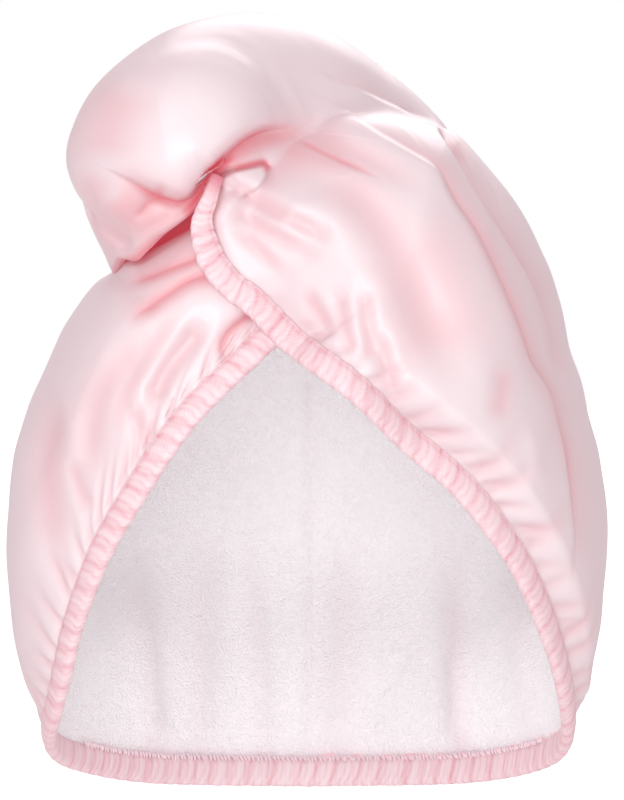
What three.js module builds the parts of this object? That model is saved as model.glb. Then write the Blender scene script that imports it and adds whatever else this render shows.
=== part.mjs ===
// Hair turban towel, as it sits on a head with no head in it: a satin wrap of two sewn halves over a
// terry lining, one gathered elastic casing round the whole opening, and a twisted hollow tail that
// rolls back over the crown and is buttoned at the nape.
// Units are millimetres. +Z is up, the face opening looks along -Y, and +X is on the right in a front
// view. The origin is the head seat: the inside of the lining at the top of the crown.

import * as THREE from 'three';

const DEGREE = Math.PI / 180;

// Driving sizes of the outer satin
const HALF_WIDTH = 100.4;
const FRONT_REACH = 98;
const BACK_REACH = 117;
const OVERALL_HEIGHT = 262;
const CROWN_LEFT = 113;
const CROWN_RIGHT = 157;
const SKIRT_DROP = 174;
const NAPE_TUCK = 15;

// Driving sizes of the lining, which is what the head fills
const SEAT_HEIGHT = 199;
const LINING_RISE = 104;
const SIDE_FULLNESS = 10.4;
const FRONT_FULLNESS = 11;
const BACK_FULLNESS = 13;
const LINING_HALF_WIDTH = HALF_WIDTH - SIDE_FULLNESS;
const LINING_FRONT = FRONT_REACH - FRONT_FULLNESS;
const LINING_BACK = BACK_REACH - BACK_FULLNESS;
const LINING_DROP = 220;

// Cloth and casing
const SATIN_WALL = 1.6;
const TERRY_WALL = 2.4;
const TAIL_WALL = 2.4;
const GAP = 0.3;
const EDGE_GAP = 0.8;
const CASING_WIDTH = 9.6;
const CASING_THICKNESS = 4.4;
const CASING_PITCH = 10;
const CASING_SCALLOP = 0.5;
const CASING_SWELL = 0.55;

// Fullness of the satin above the casing, and the lap of the right half over the left
const PUFF_LENGTH = 30;
const LAP_RISE = 5.2;
const LAP_CROWN_RISE = 7.2;
const GATHER_DEPTH = 1.4;
const GATHER_LENGTH = 34;

// Twisted tail
const ROLL_RADIUS = 36;
const ROLL_RIBS = 5;
const ROLL_RIB_DEPTH = 1.1;
const ROLL_TURNS = 0.7;
const LIP_DEPTH = 3.5;
const LIP_SIDE = 0.42;
const LIP_RISE = 0.765;
const LIP_SLOPE = 0.46;
const LIP_SOFTNESS = 4;
const LIP_FADE = 5;
const TAIL_CLEARANCE = 1.4;
const SKIRT_FLARE = 0.42;
const BUTTON_RADIUS = 11;
const BUTTON_THICKNESS = 4.5;
const BUTTON_PLACE = 0.9;
const BUTTON_SPAN = 0.035;
const BUTTON_LIFT = 1.6;

// How finely each piece is faceted
const SHELL_COLUMNS = 42;
const SHELL_ROWS = 10;
const LINING_COLUMNS = 22;
const LINING_ROWS = 7;
const STEPS_PER_GATHER = 3;
const CASING_SIDES = 8;
const ROLL_STEPS = 27;
const ROLL_SIDES = 28;
const BUTTON_SIDES = 28;

// Roundness of the wrap: 2 is an ellipse, more is squarer, less is more pointed
const SIDE_POWER = 1.8;
const FRONT_POWER = 2.6;
const BACK_POWER = 2.1;
const CROWN_LEAN = 0.3;
const CROWN_SHIFT = 0.1;

// Opening edge from the twist, down the right side, round the nape and up the left side.
// turn: degrees round the head from the front; rise: share of the overall height above the nape.
const RIM = [
  { turn: -26.5, rise: 0.752 },
  { turn: -27, rise: 0.725 },
  { turn: -24.6, rise: 0.684 },
  { turn: -20, rise: 0.65 },
  { turn: -14.6, rise: 0.617 },
  { turn: -6.1, rise: 0.573 },
  { turn: 5.2, rise: 0.522 },
  { turn: 18, rise: 0.454 },
  { turn: 30.9, rise: 0.393 },
  { turn: 41, rise: 0.332 },
  { turn: 48.4, rise: 0.286 },
  { turn: 56.2, rise: 0.229 },
  { turn: 66.5, rise: 0.16 },
  { turn: 76, rise: 0.106 },
  { turn: 87, rise: 0.066 },
  { turn: 100, rise: 0.038 },
  { turn: 115, rise: 0.021 },
  { turn: 132, rise: 0.009 },
  { turn: 150, rise: 0.003 },
  { turn: 180, rise: 0 },
  { turn: 210, rise: 0.003 },
  { turn: 228, rise: 0.009 },
  { turn: 245, rise: 0.021 },
  { turn: 260, rise: 0.036 },
  { turn: 274, rise: 0.061 },
  { turn: 286, rise: 0.089 },
  { turn: 296, rise: 0.145 },
  { turn: 301.4, rise: 0.195 },
  { turn: 308.7, rise: 0.26 },
  { turn: 314.7, rise: 0.313 },
  { turn: 323.1, rise: 0.378 },
  { turn: 330.1, rise: 0.439 },
  { turn: 336.6, rise: 0.489 },
  { turn: 344.9, rise: 0.538 },
  { turn: 351.4, rise: 0.573 },
  { turn: 358, rise: 0.608 },
];
const NAPE_TURN = 180;
const LAST_TURN = 358;

// Upper edge of the right satin half, from the twist over the crown to the nape.
// along: share of the half's length; lean: degrees to the side; arc: degrees over the head from the back.
const RIGHT_CREST = [
  { along: 0, lean: -10, arc: 121 },
  { along: 0.04, lean: -9, arc: 116 },
  { along: 0.08, lean: -7, arc: 111.5 },
  { along: 0.115, lean: -3.5, arc: 107.5 },
  { along: 0.15, lean: 0, arc: 103.5 },
  { along: 0.35, lean: 0, arc: 78 },
  { along: 0.6, lean: 0, arc: 40 },
  { along: 0.85, lean: 0, arc: -6 },
  { along: 1, lean: 0, arc: -32 },
];
const CENTRE_CREST = [
  { along: 0, lean: 0, arc: 133 },
  { along: 0.2, lean: 0, arc: 108 },
  { along: 0.4, lean: 0, arc: 76 },
  { along: 0.62, lean: 0, arc: 36 },
  { along: 0.85, lean: 0, arc: -8 },
  { along: 1, lean: 0, arc: -32 },
];

// Long folds that fan out of the twist along each half. near and far are shares of the way from the
// casing to the crest at the fold's two ends, start and end are shares of the half's length,
// spread is the fold's half width as such a share, and depth is in millimetres.
const RIGHT_FOLDS = [
  { near: 0.3, far: 0.24, start: 0.06, end: 0.36, spread: 0.07, depth: 3.2 },
  { near: 0.62, far: 0.46, start: 0.02, end: 0.46, spread: 0.075, depth: 4.2 },
  { near: 0.86, far: 0.72, start: 0.08, end: 0.62, spread: 0.07, depth: 3.6 },
];
const LEFT_FOLDS = [
  { near: 0.3, far: 0.22, start: 0.04, end: 0.3, spread: 0.08, depth: 3.4 },
  { near: 0.5, far: 0.4, start: 0.06, end: 0.5, spread: 0.08, depth: 3.6 },
  { near: 0.72, far: 0.66, start: 0.06, end: 0.55, spread: 0.07, depth: 2.8 },
];

// Middle line and section of the twisted tail, from the twist over the crown to the nape.
// side: share of the half width; reach: share of the back reach; rise: share of the overall height;
// wide and tall: shares of the tail radius, along the head and away from it.
const ROLL = [
  { side: -0.369, reach: -0.752, rise: 0.763, wide: 0.17, tall: 0.17 },
  { side: -0.408, reach: -0.709, rise: 0.767, wide: 0.53, tall: 0.47 },
  { side: -0.468, reach: -0.607, rise: 0.775, wide: 0.86, tall: 0.81 },
  { side: -0.458, reach: -0.427, rise: 0.813, wide: 1.06, tall: 0.97 },
  { side: -0.319, reach: -0.222, rise: 0.855, wide: 1.08, tall: 1.03 },
  { side: -0.129, reach: 0.034, rise: 0.863, wide: 1.25, tall: 0.97 },
  { side: 0.02, reach: 0.342, rise: 0.817, wide: 1.33, tall: 0.86 },
  { side: 0.07, reach: 0.667, rise: 0.714, wide: 1.25, tall: 0.69 },
  { side: 0.05, reach: 0.915, rise: 0.573, wide: 1, tall: 0.47 },
  { side: 0.01, reach: 1, rise: 0.42, wide: 0.78, tall: 0.31 },
  { side: 0, reach: 0.966, rise: 0.275, wide: 0.53, tall: 0.19 },
  { side: 0, reach: 0.906, rise: 0.191, wide: 0.31, tall: 0.12 },
];

// Colours and finishes
const SATIN = { colour: 0xf0cdd4, roughness: 0.42 };
const BAND = { colour: 0xe9c3cb, roughness: 0.5 };
const TERRY = { colour: 0xf1ebf3, roughness: 0.95 };
const BUTTON = { colour: 0xe6b9c3, roughness: 0.35 };

const HEAD = new THREE.Vector3(0, 0, -LINING_RISE);
const RIM_RISE = TERRY_WALL + GAP + SATIN_WALL;

function clamp(value, low, high) {
  return Math.min(high, Math.max(low, value));
}

function mix(a, b, share) {
  return a + (b - a) * share;
}

function ease(low, high, value) {
  const share = clamp((value - low) / (high - low), 0, 1);
  return share * share * (3 - 2 * share);
}

// Smooth reading of a table: key is its position column, names are the columns to read.
function readTable(rows, key, value) {
  const last = rows.length - 1;
  const place = clamp(value, rows[0][key], rows[last][key]);
  let index = 0;
  while (index < last - 1 && rows[index + 1][key] < place) {
    index += 1;
  }
  return spline(rows, index, (place - rows[index][key]) / (rows[index + 1][key] - rows[index][key]));
}

function spline(rows, index, share) {
  const last = rows.length - 1;
  const before = rows[Math.max(index - 1, 0)];
  const from = rows[index];
  const to = rows[Math.min(index + 1, last)];
  const after = rows[Math.min(index + 2, last)];
  const square = share * share;
  const cube = square * share;
  const result = {};
  for (const name of Object.keys(from)) {
    const start = (to[name] - before[name]) / 2;
    const finish = (after[name] - from[name]) / 2;
    const rest = (2 * cube - 3 * square + 1) * from[name] + (3 * square - 2 * cube) * to[name];
    result[name] = rest + (cube - 2 * square + share) * start + (cube - square) * finish;
  }
  return result;
}

// Distance from the head's centre to a rounded form, along a unit direction
function roundedReach(direction, form) {
  const across = direction.x * direction.x + direction.y * direction.y + 1e-9;
  const sagittal = (direction.y * direction.y) / across;
  const reach = direction.y < 0 ? form.front : form.back;
  const facing = direction.y < 0 ? form.frontPower : form.backPower;
  const upper = mix(form.sidePower, facing, sagittal);
  const power = mix(2, upper, ease(0, 0.5, direction.z));
  const rise = direction.z > 0 ? form.rise : form.drop;
  const sum = Math.abs(direction.x / form.side) ** power
    + Math.abs(direction.y / reach) ** power
    + Math.abs(direction.z / rise) ** power;
  const tuck = NAPE_TUCK * ease(0.1, 0.65, -direction.z) * ease(0, 0.7, direction.y);
  return sum ** (-1 / power) - tuck;
}

function liningReach(direction) {
  return roundedReach(direction, {
    side: LINING_HALF_WIDTH,
    front: LINING_FRONT,
    back: LINING_BACK,
    rise: LINING_RISE,
    drop: LINING_DROP,
    sidePower: 2,
    frontPower: 2,
    backPower: 2,
  });
}

function fullReach(direction) {
  const lean = 0.5 + 0.5 * Math.tanh((direction.x - CROWN_SHIFT) / CROWN_LEAN);
  return roundedReach(direction, {
    side: HALF_WIDTH,
    front: FRONT_REACH,
    back: BACK_REACH,
    rise: mix(CROWN_LEFT, CROWN_RIGHT, lean),
    drop: SKIRT_DROP,
    sidePower: SIDE_POWER,
    frontPower: FRONT_POWER,
    backPower: BACK_POWER,
  });
}

// The right half lies over the left one only on the forehead.
function lapShare(direction) {
  return ease(0.15, 0.36, -direction.y) * ease(-0.42, -0.06, -direction.x) * ease(0, 0.25, direction.z);
}

function turned(turn, tilt) {
  const a = turn * DEGREE;
  const e = tilt * DEGREE;
  return new THREE.Vector3(Math.sin(a) * Math.cos(e), -Math.cos(a) * Math.cos(e), Math.sin(e));
}

function crestDirection(row) {
  const lean = row.lean * DEGREE;
  const arc = row.arc * DEGREE;
  const level = Math.cos(lean);
  return new THREE.Vector3(Math.sin(lean), level * Math.cos(arc), level * Math.sin(arc));
}

// Direction at a given turn whose point on a surface has a given height above the nape.
function directionAtHeight(turn, height, reachOf) {
  const target = height - SEAT_HEIGHT + LINING_RISE;
  let low = -75;
  let high = 85;
  for (let pass = 0; pass < 34; pass += 1) {
    const middle = (low + high) / 2;
    const direction = turned(turn, middle);
    if (reachOf(direction) * direction.z < target) {
      low = middle;
    } else {
      high = middle;
    }
  }
  return turned(turn, (low + high) / 2);
}

function baseReach(direction) {
  return liningReach(direction) + RIM_RISE;
}

function angleBetween(a, b) {
  return Math.acos(clamp(a.dot(b), -1, 1));
}

// Shortest way from the surface in one direction to a run of rim directions, in millimetres.
const RIM_POINTS = new Map();
function wayToRim(direction, rim) {
  if (!RIM_POINTS.has(rim)) {
    RIM_POINTS.set(rim, rim.map((item) => item.clone().multiplyScalar(baseReach(item))));
  }
  const points = RIM_POINTS.get(rim);
  const spot = direction.clone().multiplyScalar(baseReach(direction));
  const run = new THREE.Vector3();
  const to = new THREE.Vector3();
  let best = Infinity;
  for (let index = 0; index < points.length - 1; index += 1) {
    run.subVectors(points[index + 1], points[index]);
    to.subVectors(spot, points[index]);
    const share = clamp(to.dot(run) / run.lengthSq(), 0, 1);
    best = Math.min(best, to.addScaledVector(run, -share).length());
  }
  return best;
}

function puff(way) {
  const share = clamp((way - CASING_WIDTH) / PUFF_LENGTH, 0, 1);
  return Math.sin((share * Math.PI) / 2) ** 0.85;
}

// Rim of the left half, on the lining.
const RIM_SAMPLES = 4;
function rimRun(fromTurn, toTurn, reachOf) {
  const run = [];
  const rows = RIM.filter((row) => row.turn >= fromTurn && row.turn <= toTurn);
  for (let index = 0; index < rows.length - 1; index += 1) {
    const at = RIM.indexOf(rows[index]);
    for (let step = 0; step < RIM_SAMPLES; step += 1) {
      const row = spline(RIM, at, step / RIM_SAMPLES);
      run.push(directionAtHeight(row.turn, row.rise * OVERALL_HEIGHT, reachOf));
    }
  }
  const end = rows[rows.length - 1];
  run.push(directionAtHeight(end.turn, end.rise * OVERALL_HEIGHT, reachOf));
  return run;
}

const LEFT_RIM = rimRun(NAPE_TURN, LAST_TURN, baseReach).reverse();

function leftReach(direction) {
  const share = puff(wayToRim(direction, LEFT_RIM));
  return mix(baseReach(direction), fullReach(direction), share);
}

// Level of the right half's casing: on the lining at the side, over the left half on the forehead.
function rightBase(direction) {
  const lap = lapShare(direction);
  if (lap === 0) {
    return baseReach(direction);
  }
  return mix(baseReach(direction), leftReach(direction) + LAP_RISE, lap);
}

const RIGHT_RIM = rimRun(RIM[0].turn - 1, NAPE_TURN, rightBase);

function rightReach(direction) {
  const share = puff(wayToRim(direction, RIGHT_RIM));
  const full = fullReach(direction) + LAP_CROWN_RISE * lapShare(direction);
  return mix(rightBase(direction), full, share);
}

// Points evenly spaced along a run of directions
function spaced(run, share) {
  const lengths = [0];
  for (let index = 1; index < run.length; index += 1) {
    lengths.push(lengths[index - 1] + angleBetween(run[index - 1], run[index]));
  }
  const target = share * lengths[lengths.length - 1];
  let index = 0;
  while (index < run.length - 2 && lengths[index + 1] < target) {
    index += 1;
  }
  const local = (target - lengths[index]) / (lengths[index + 1] - lengths[index]);
  return run[index].clone().lerp(run[index + 1], local).normalize();
}

function swing(from, to, share) {
  const angle = angleBetween(from, to);
  const scale = Math.sin(angle);
  return from.clone()
    .multiplyScalar(Math.sin((1 - share) * angle) / scale)
    .addScaledVector(to, Math.sin(share * angle) / scale)
    .normalize();
}

function foldDepth(folds, along, up) {
  let depth = 0;
  for (const fold of folds) {
    const share = (along - fold.start) / (fold.end - fold.start);
    if (share > 0 && share < 1) {
      const middle = mix(fold.near, fold.far, share);
      const off = (up - middle) / fold.spread;
      const fade = Math.sin(Math.sqrt(share) * Math.PI);
      depth += fold.depth * Math.exp(-off * off) * fade;
    }
  }
  return depth;
}

function gatherRise(along, way, gathers) {
  const beyond = way - CASING_WIDTH;
  const fade = ease(0, CASING_WIDTH, way - CASING_WIDTH / 2) * (1 - ease(0, GATHER_LENGTH, beyond));
  const start = ease(0.1, 0.2, along);
  const wave = 0.5 - 0.5 * Math.cos(2 * Math.PI * along * gathers);
  return GATHER_DEPTH * fade * start * wave;
}

// Closes a grid of outer points and a grid of inner points into one walled sheet.
function sheetGeometry(outer, inner) {
  const rows = outer.length;
  const columns = outer[0].length;
  const positions = [];
  const place = (point) => {
    positions.push(point.x, point.y, point.z);
    return positions.length / 3 - 1;
  };
  const out = outer.map((row) => row.map(place));
  const back = inner.map((row) => row.map(place));
  const faces = [];
  const quad = (a, b, c, d) => {
    faces.push(a, b, c, a, c, d);
  };
  for (let r = 0; r < rows - 1; r += 1) {
    for (let c = 0; c < columns - 1; c += 1) {
      quad(out[r][c], out[r][c + 1], out[r + 1][c + 1], out[r + 1][c]);
      quad(back[r][c], back[r + 1][c], back[r + 1][c + 1], back[r][c + 1]);
    }
  }
  for (let c = 0; c < columns - 1; c += 1) {
    quad(out[0][c], back[0][c], back[0][c + 1], out[0][c + 1]);
    quad(out[rows - 1][c], out[rows - 1][c + 1], back[rows - 1][c + 1], back[rows - 1][c]);
  }
  for (let r = 0; r < rows - 1; r += 1) {
    quad(out[r][0], out[r + 1][0], back[r + 1][0], back[r][0]);
    quad(out[r][columns - 1], back[r][columns - 1], back[r + 1][columns - 1], out[r + 1][columns - 1]);
  }
  return indexed(positions, faces);
}

function indexed(positions, faces) {
  const geometry = new THREE.BufferGeometry();
  geometry.setAttribute('position', new THREE.Float32BufferAttribute(positions, 3));
  geometry.setIndex(faces);
  geometry.computeVertexNormals();
  return geometry;
}

function flipped(geometry) {
  const index = geometry.getIndex();
  for (let at = 0; at < index.count; at += 3) {
    const second = index.getX(at + 1);
    index.setX(at + 1, index.getX(at + 2));
    index.setX(at + 2, second);
  }
  geometry.computeVertexNormals();
  return geometry;
}

// One half of the wrap: rows climb from the casing to the crest, columns run from front to nape.
function halfSheet(spec) {
  const outer = [];
  const inner = [];
  for (let r = 0; r <= spec.rows; r += 1) {
    outer.push([]);
    inner.push([]);
  }
  for (let c = 0; c <= spec.columns; c += 1) {
    const along = c / spec.columns;
    const foot = spaced(spec.rim, along);
    const top = crestDirection(readTable(spec.crest, 'along', along));
    let low = 0;
    let high = 0.7;
    for (let pass = 0; pass < 22; pass += 1) {
      const middle = (low + high) / 2;
      const away = wayToRim(swing(foot, top, middle), spec.rim);
      if (away < CASING_WIDTH + EDGE_GAP) {
        low = middle;
      } else {
        high = middle;
      }
    }
    for (let r = 0; r <= spec.rows; r += 1) {
      const up = (r / spec.rows) ** spec.crowding;
      const direction = swing(foot, top, mix(high, 1, up));
      const reach = spec.reachOf(direction, along, up);
      const face = HEAD.clone().addScaledVector(direction, reach);
      const back = HEAD.clone().addScaledVector(direction, reach - spec.wall);
      face.x += spec.shift;
      back.x += spec.shift;
      outer[r].push(face);
      inner[r].push(back);
    }
  }
  return sheetGeometry(outer, inner);
}

function shellOn(rim, reachOf, folds) {
  const gathers = Math.round(SHELL_COLUMNS / STEPS_PER_GATHER);
  return (direction, along, up) => {
    const way = wayToRim(direction, rim);
    const fold = foldDepth(folds, along, up) * puff(way) * ease(0, 0.08, 1 - up);
    return reachOf(direction) - fold + gatherRise(along, way, gathers);
  };
}

function buildRightShell() {
  return halfSheet({
    rim: RIGHT_RIM,
    crest: RIGHT_CREST,
    columns: SHELL_COLUMNS,
    rows: SHELL_ROWS,
    crowding: 1.15,
    wall: SATIN_WALL,
    shift: GAP / 2,
    reachOf: shellOn(RIGHT_RIM, rightReach, RIGHT_FOLDS),
  });
}

function buildLeftShell() {
  return flipped(halfSheet({
    rim: LEFT_RIM,
    crest: CENTRE_CREST,
    columns: SHELL_COLUMNS,
    rows: SHELL_ROWS,
    crowding: 1.15,
    wall: SATIN_WALL,
    shift: -GAP / 2,
    reachOf: shellOn(LEFT_RIM, leftReach, LEFT_FOLDS),
  }));
}

function liningFace(direction) {
  return liningReach(direction) + TERRY_WALL;
}

function buildLining(rim, shift) {
  return halfSheet({
    rim,
    crest: CENTRE_CREST,
    columns: LINING_COLUMNS,
    rows: LINING_ROWS,
    crowding: 1,
    wall: TERRY_WALL,
    shift,
    reachOf: liningFace,
  });
}

// The lining's right half stops at the centre seam, so its rim starts there.
function frontOf(rim) {
  const start = rim.findIndex((direction) => direction.x > 0);
  const before = rim[start - 1];
  const after = rim[start];
  const share = -before.x / (after.x - before.x);
  const first = before.clone().lerp(after, share).normalize();
  first.x = 0;
  return [first.normalize(), ...rim.slice(start)];
}

function closedEnd(rim) {
  const last = rim[rim.length - 1].clone();
  last.x = 0;
  return [...rim.slice(0, -1), last.normalize()];
}

// The casing is one flattened tube. Its middle line runs half its width inside the opening edge.
function casingLevel(direction, onRight) {
  const level = onRight ? rightBase(direction) : baseReach(direction);
  return level + GAP / 2 - CASING_THICKNESS / 2;
}

function buildCasing() {
  const right = RIGHT_RIM.map((direction) => ({ direction, onRight: true }));
  const left = LEFT_RIM.slice(0, -1).reverse().map((direction) => ({ direction, onRight: false }));
  const path = [...right, ...left];
  const points = path.map((item) => HEAD.clone()
    .addScaledVector(item.direction, casingLevel(item.direction, item.onRight)));
  const lengths = [0];
  for (let index = 1; index < points.length; index += 1) {
    lengths.push(lengths[index - 1] + points[index].distanceTo(points[index - 1]));
  }
  const total = lengths[lengths.length - 1];
  const gathers = Math.round(total / CASING_PITCH);
  const steps = gathers * STEPS_PER_GATHER;
  const rings = [];
  for (let step = 0; step <= steps; step += 1) {
    const target = (step / steps) * total;
    let index = 0;
    while (index < points.length - 2 && lengths[index + 1] < target) {
      index += 1;
    }
    const share = (target - lengths[index]) / (lengths[index + 1] - lengths[index]);
    const foot = points[index].clone().lerp(points[index + 1], share);
    const before = points[Math.max(index - 1, 0)];
    const after = points[Math.min(index + 2, points.length - 1)];
    const tangent = new THREE.Vector3().subVectors(after, before).normalize();
    const radial = new THREE.Vector3().subVectors(foot, HEAD).normalize();
    const upward = new THREE.Vector3().crossVectors(radial, tangent).normalize();
    const ahead = radial.clone().addScaledVector(upward, CASING_WIDTH / HALF_WIDTH).normalize();
    const level = casingLevel(ahead, path[index].onRight);
    const inward = HEAD.clone().addScaledVector(ahead, level).sub(foot);
    inward.addScaledVector(tangent, -inward.dot(tangent)).normalize();
    const normal = new THREE.Vector3().crossVectors(tangent, inward).normalize();
    const swell = Math.cos((2 * Math.PI * step) / STEPS_PER_GATHER);
    const halfWidth = CASING_WIDTH / 2 - CASING_SCALLOP * (0.5 - 0.5 * swell);
    const halfThick = CASING_THICKNESS / 2 - CASING_SWELL * (0.5 - 0.5 * swell);
    const ring = [];
    for (let side = 0; side < CASING_SIDES; side += 1) {
      const angle = (2 * Math.PI * (side + 0.5)) / CASING_SIDES;
      const cosine = Math.cos(angle);
      const sine = Math.sin(angle);
      const wide = Math.sign(cosine) * Math.abs(cosine) ** 0.7 * halfWidth;
      const thick = Math.sign(sine) * Math.abs(sine) ** 0.7 * halfThick;
      ring.push(foot.clone()
        .addScaledVector(inward, CASING_WIDTH / 2 + wide)
        .addScaledVector(normal, thick));
    }
    rings.push(ring);
  }
  return flipped(tubeGeometry(rings));
}

function tubeGeometry(rings) {
  const sides = rings[0].length;
  const positions = [];
  for (const ring of rings) {
    for (const point of ring) {
      positions.push(point.x, point.y, point.z);
    }
  }
  const faces = [];
  for (let r = 0; r < rings.length - 1; r += 1) {
    for (let s = 0; s < sides; s += 1) {
      const a = r * sides + s;
      const b = r * sides + ((s + 1) % sides);
      faces.push(a, a + sides, b, b, a + sides, b + sides);
    }
  }
  const capEnd = (start, forward) => {
    for (let s = 1; s < sides - 1; s += 1) {
      if (forward) {
        faces.push(start, start + s, start + s + 1);
      } else {
        faces.push(start, start + s + 1, start + s);
      }
    }
  };
  capEnd(0, true);
  capEnd((rings.length - 1) * sides, false);
  return indexed(positions, faces);
}

// Top of everything that the tail lies on
function restReach(direction) {
  const way = wayToRim(direction, RIGHT_RIM);
  const beside = ease(-0.36, -0.2, direction.x);
  const right = rightReach(direction) + CASING_THICKNESS * 0.5 * (1 - ease(CASING_WIDTH, 2 * CASING_WIDTH, way));
  const left = leftReach(direction);
  return mix(left, Math.max(left, right), beside);
}

function laidOn(point, clearance) {
  const direction = new THREE.Vector3().subVectors(point, HEAD);
  const reach = direction.length();
  direction.normalize();
  const least = restReach(direction) + clearance;
  return HEAD.clone().addScaledVector(direction, Math.max(reach, least));
}

function rollRing(share, inset, clearance) {
  const spot = (value) => {
    const scaled = clamp(value, 0, 1) * (ROLL.length - 1);
    const index = Math.min(Math.floor(scaled), ROLL.length - 2);
    return spline(ROLL, index, scaled - index);
  };
  const middle = (row) => new THREE.Vector3(
    row.side * HALF_WIDTH,
    row.reach * BACK_REACH,
    row.rise * OVERALL_HEIGHT - SEAT_HEIGHT,
  );
  const row = spot(share);
  const ahead = middle(spot(share + 0.02));
  const behind = middle(spot(share - 0.02));
  const tangent = ahead.sub(behind).normalize();
  const above = middle(row).sub(HEAD);
  above.addScaledVector(tangent, -above.dot(tangent)).normalize();
  const across = new THREE.Vector3().crossVectors(tangent, above).normalize();
  const ring = [];
  for (let side = 0; side < ROLL_SIDES; side += 1) {
    const angle = (2 * Math.PI * side) / ROLL_SIDES;
    const rib = Math.cos(ROLL_RIBS * angle + 2 * Math.PI * ROLL_TURNS * ROLL_RIBS * share);
    const size = Math.min(row.wide, 1) * ROLL_RIB_DEPTH * (rib - 1) - inset;
    const flare = SKIRT_FLARE * ease(0.2, 0.32, share) * (1 - ease(0.6, 0.8, share));
    const skirt = Math.cos(angle) > 0 ? flare * ease(0, 0.5, -Math.sin(angle)) : 0;
    const wide = row.wide * ROLL_RADIUS * (1 + skirt) + size;
    const tall = row.tall * ROLL_RADIUS + size;
    const offset = new THREE.Vector3()
      .addScaledVector(across, wide * Math.cos(angle))
      .addScaledVector(above, tall * Math.sin(angle));
    const point = middle(row).add(offset);
    const past = -LIP_SIDE * HALF_WIDTH - point.x;
    const lipHeight = LIP_RISE * OVERALL_HEIGHT - SEAT_HEIGHT + LIP_SLOPE * past;
    const under = ease(0, LIP_SOFTNESS, lipHeight - point.z) * ease(-LIP_FADE, LIP_FADE, past);
    point.addScaledVector(offset.normalize(), -LIP_DEPTH * under * Math.min(row.wide, 1));
    ring.push(laidOn(point, clearance));
  }
  return ring;
}

// A long bag: open at the twist, where the hair goes in, and closed at the nape.
function buildRoll() {
  const outer = [];
  const inner = [];
  for (let step = 0; step <= ROLL_STEPS; step += 1) {
    outer.push(rollRing(step / ROLL_STEPS, 0, TAIL_CLEARANCE));
  }
  for (let step = 0; step <= ROLL_STEPS - 2; step += 1) {
    inner.push(rollRing(step / ROLL_STEPS, TAIL_WALL, TAIL_CLEARANCE + TAIL_WALL));
  }
  inner.reverse();
  const rings = [...inner, ...outer];
  return tubeGeometry(rings);
}

// A plain button on the outside of the tail, just above its tip.
function buildButton() {
  const top = ROLL_SIDES / 4;
  const ring = rollRing(BUTTON_PLACE, 0, TAIL_CLEARANCE);
  const above = rollRing(BUTTON_PLACE - BUTTON_SPAN, 0, TAIL_CLEARANCE)[top];
  const below = rollRing(BUTTON_PLACE + BUTTON_SPAN, 0, TAIL_CLEARANCE)[top];
  const along = new THREE.Vector3().subVectors(above, below);
  const across = new THREE.Vector3().subVectors(ring[top - 1], ring[top + 1]);
  const normal = new THREE.Vector3().crossVectors(across, along).normalize();
  if (normal.y < 0) {
    normal.negate();
  }
  const spot = ring[top].clone().addScaledVector(normal, BUTTON_LIFT + BUTTON_THICKNESS / 2);
  const geometry = new THREE.CylinderGeometry(BUTTON_RADIUS, BUTTON_RADIUS, BUTTON_THICKNESS, BUTTON_SIDES);
  geometry.applyQuaternion(new THREE.Quaternion().setFromUnitVectors(new THREE.Vector3(0, 1, 0), normal));
  geometry.translate(spot.x, spot.y, spot.z);
  return geometry;
}

function piece(name, geometry, finish) {
  const material = new THREE.MeshStandardMaterial({
    color: finish.colour,
    roughness: finish.roughness,
    metalness: 0,
  });
  const mesh = new THREE.Mesh(geometry, material);
  mesh.name = name;
  return mesh;
}

const model = new THREE.Group();
model.name = 'hair_turban_towel';
model.add(piece('shell_right', buildRightShell(), SATIN));
model.add(piece('shell_left', buildLeftShell(), SATIN));
model.add(piece('lining_right', buildLining(closedEnd(frontOf(RIGHT_RIM)), GAP / 2), TERRY));
model.add(piece('lining_left', flipped(buildLining(closedEnd(LEFT_RIM), -GAP / 2)), TERRY));
model.add(piece('elastic_casing', buildCasing(), BAND));
model.add(piece('tail_roll', buildRoll(), SATIN));
model.add(piece('tail_button', buildButton(), BUTTON));

export default model;
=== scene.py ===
"""Hair turban towel as it sits on a head: twisted satin over a terry lining, with a gathered edge.

Working sizes are millimetres: x to the right and y to the back as in the frame, and z is the height
above the nape. Places in the front view are pixels of the 624 x 800 picture, three to a millimetre.
"""
import math
from types import SimpleNamespace

import bpy
import numpy as np
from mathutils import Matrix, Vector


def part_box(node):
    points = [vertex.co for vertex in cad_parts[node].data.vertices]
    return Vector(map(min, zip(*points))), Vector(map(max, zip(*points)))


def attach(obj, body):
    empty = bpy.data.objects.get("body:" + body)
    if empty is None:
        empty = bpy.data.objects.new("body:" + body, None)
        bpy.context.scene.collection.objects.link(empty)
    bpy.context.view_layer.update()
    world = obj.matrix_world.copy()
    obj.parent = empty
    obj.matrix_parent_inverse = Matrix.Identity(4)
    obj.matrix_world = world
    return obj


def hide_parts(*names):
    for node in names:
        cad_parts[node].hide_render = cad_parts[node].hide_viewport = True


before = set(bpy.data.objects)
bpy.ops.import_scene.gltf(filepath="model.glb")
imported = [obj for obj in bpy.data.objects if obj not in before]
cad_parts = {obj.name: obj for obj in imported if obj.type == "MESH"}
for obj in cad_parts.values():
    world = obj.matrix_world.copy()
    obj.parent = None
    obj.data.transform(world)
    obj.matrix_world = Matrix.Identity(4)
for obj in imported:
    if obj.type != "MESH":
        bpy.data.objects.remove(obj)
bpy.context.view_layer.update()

# sizes shared with the solids
SEAT = 199.0
HALF_WIDTH, FRONT_REACH, BACK_REACH = 100.4, 98.0, 117.0
HEIGHT = 262.0
CROWN_LEFT, CROWN_RIGHT = 113.0, 157.0
SKIRT_DROP, LINING_DROP, NAPE_TUCK = 174.0, 220.0, 15.0
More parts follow.
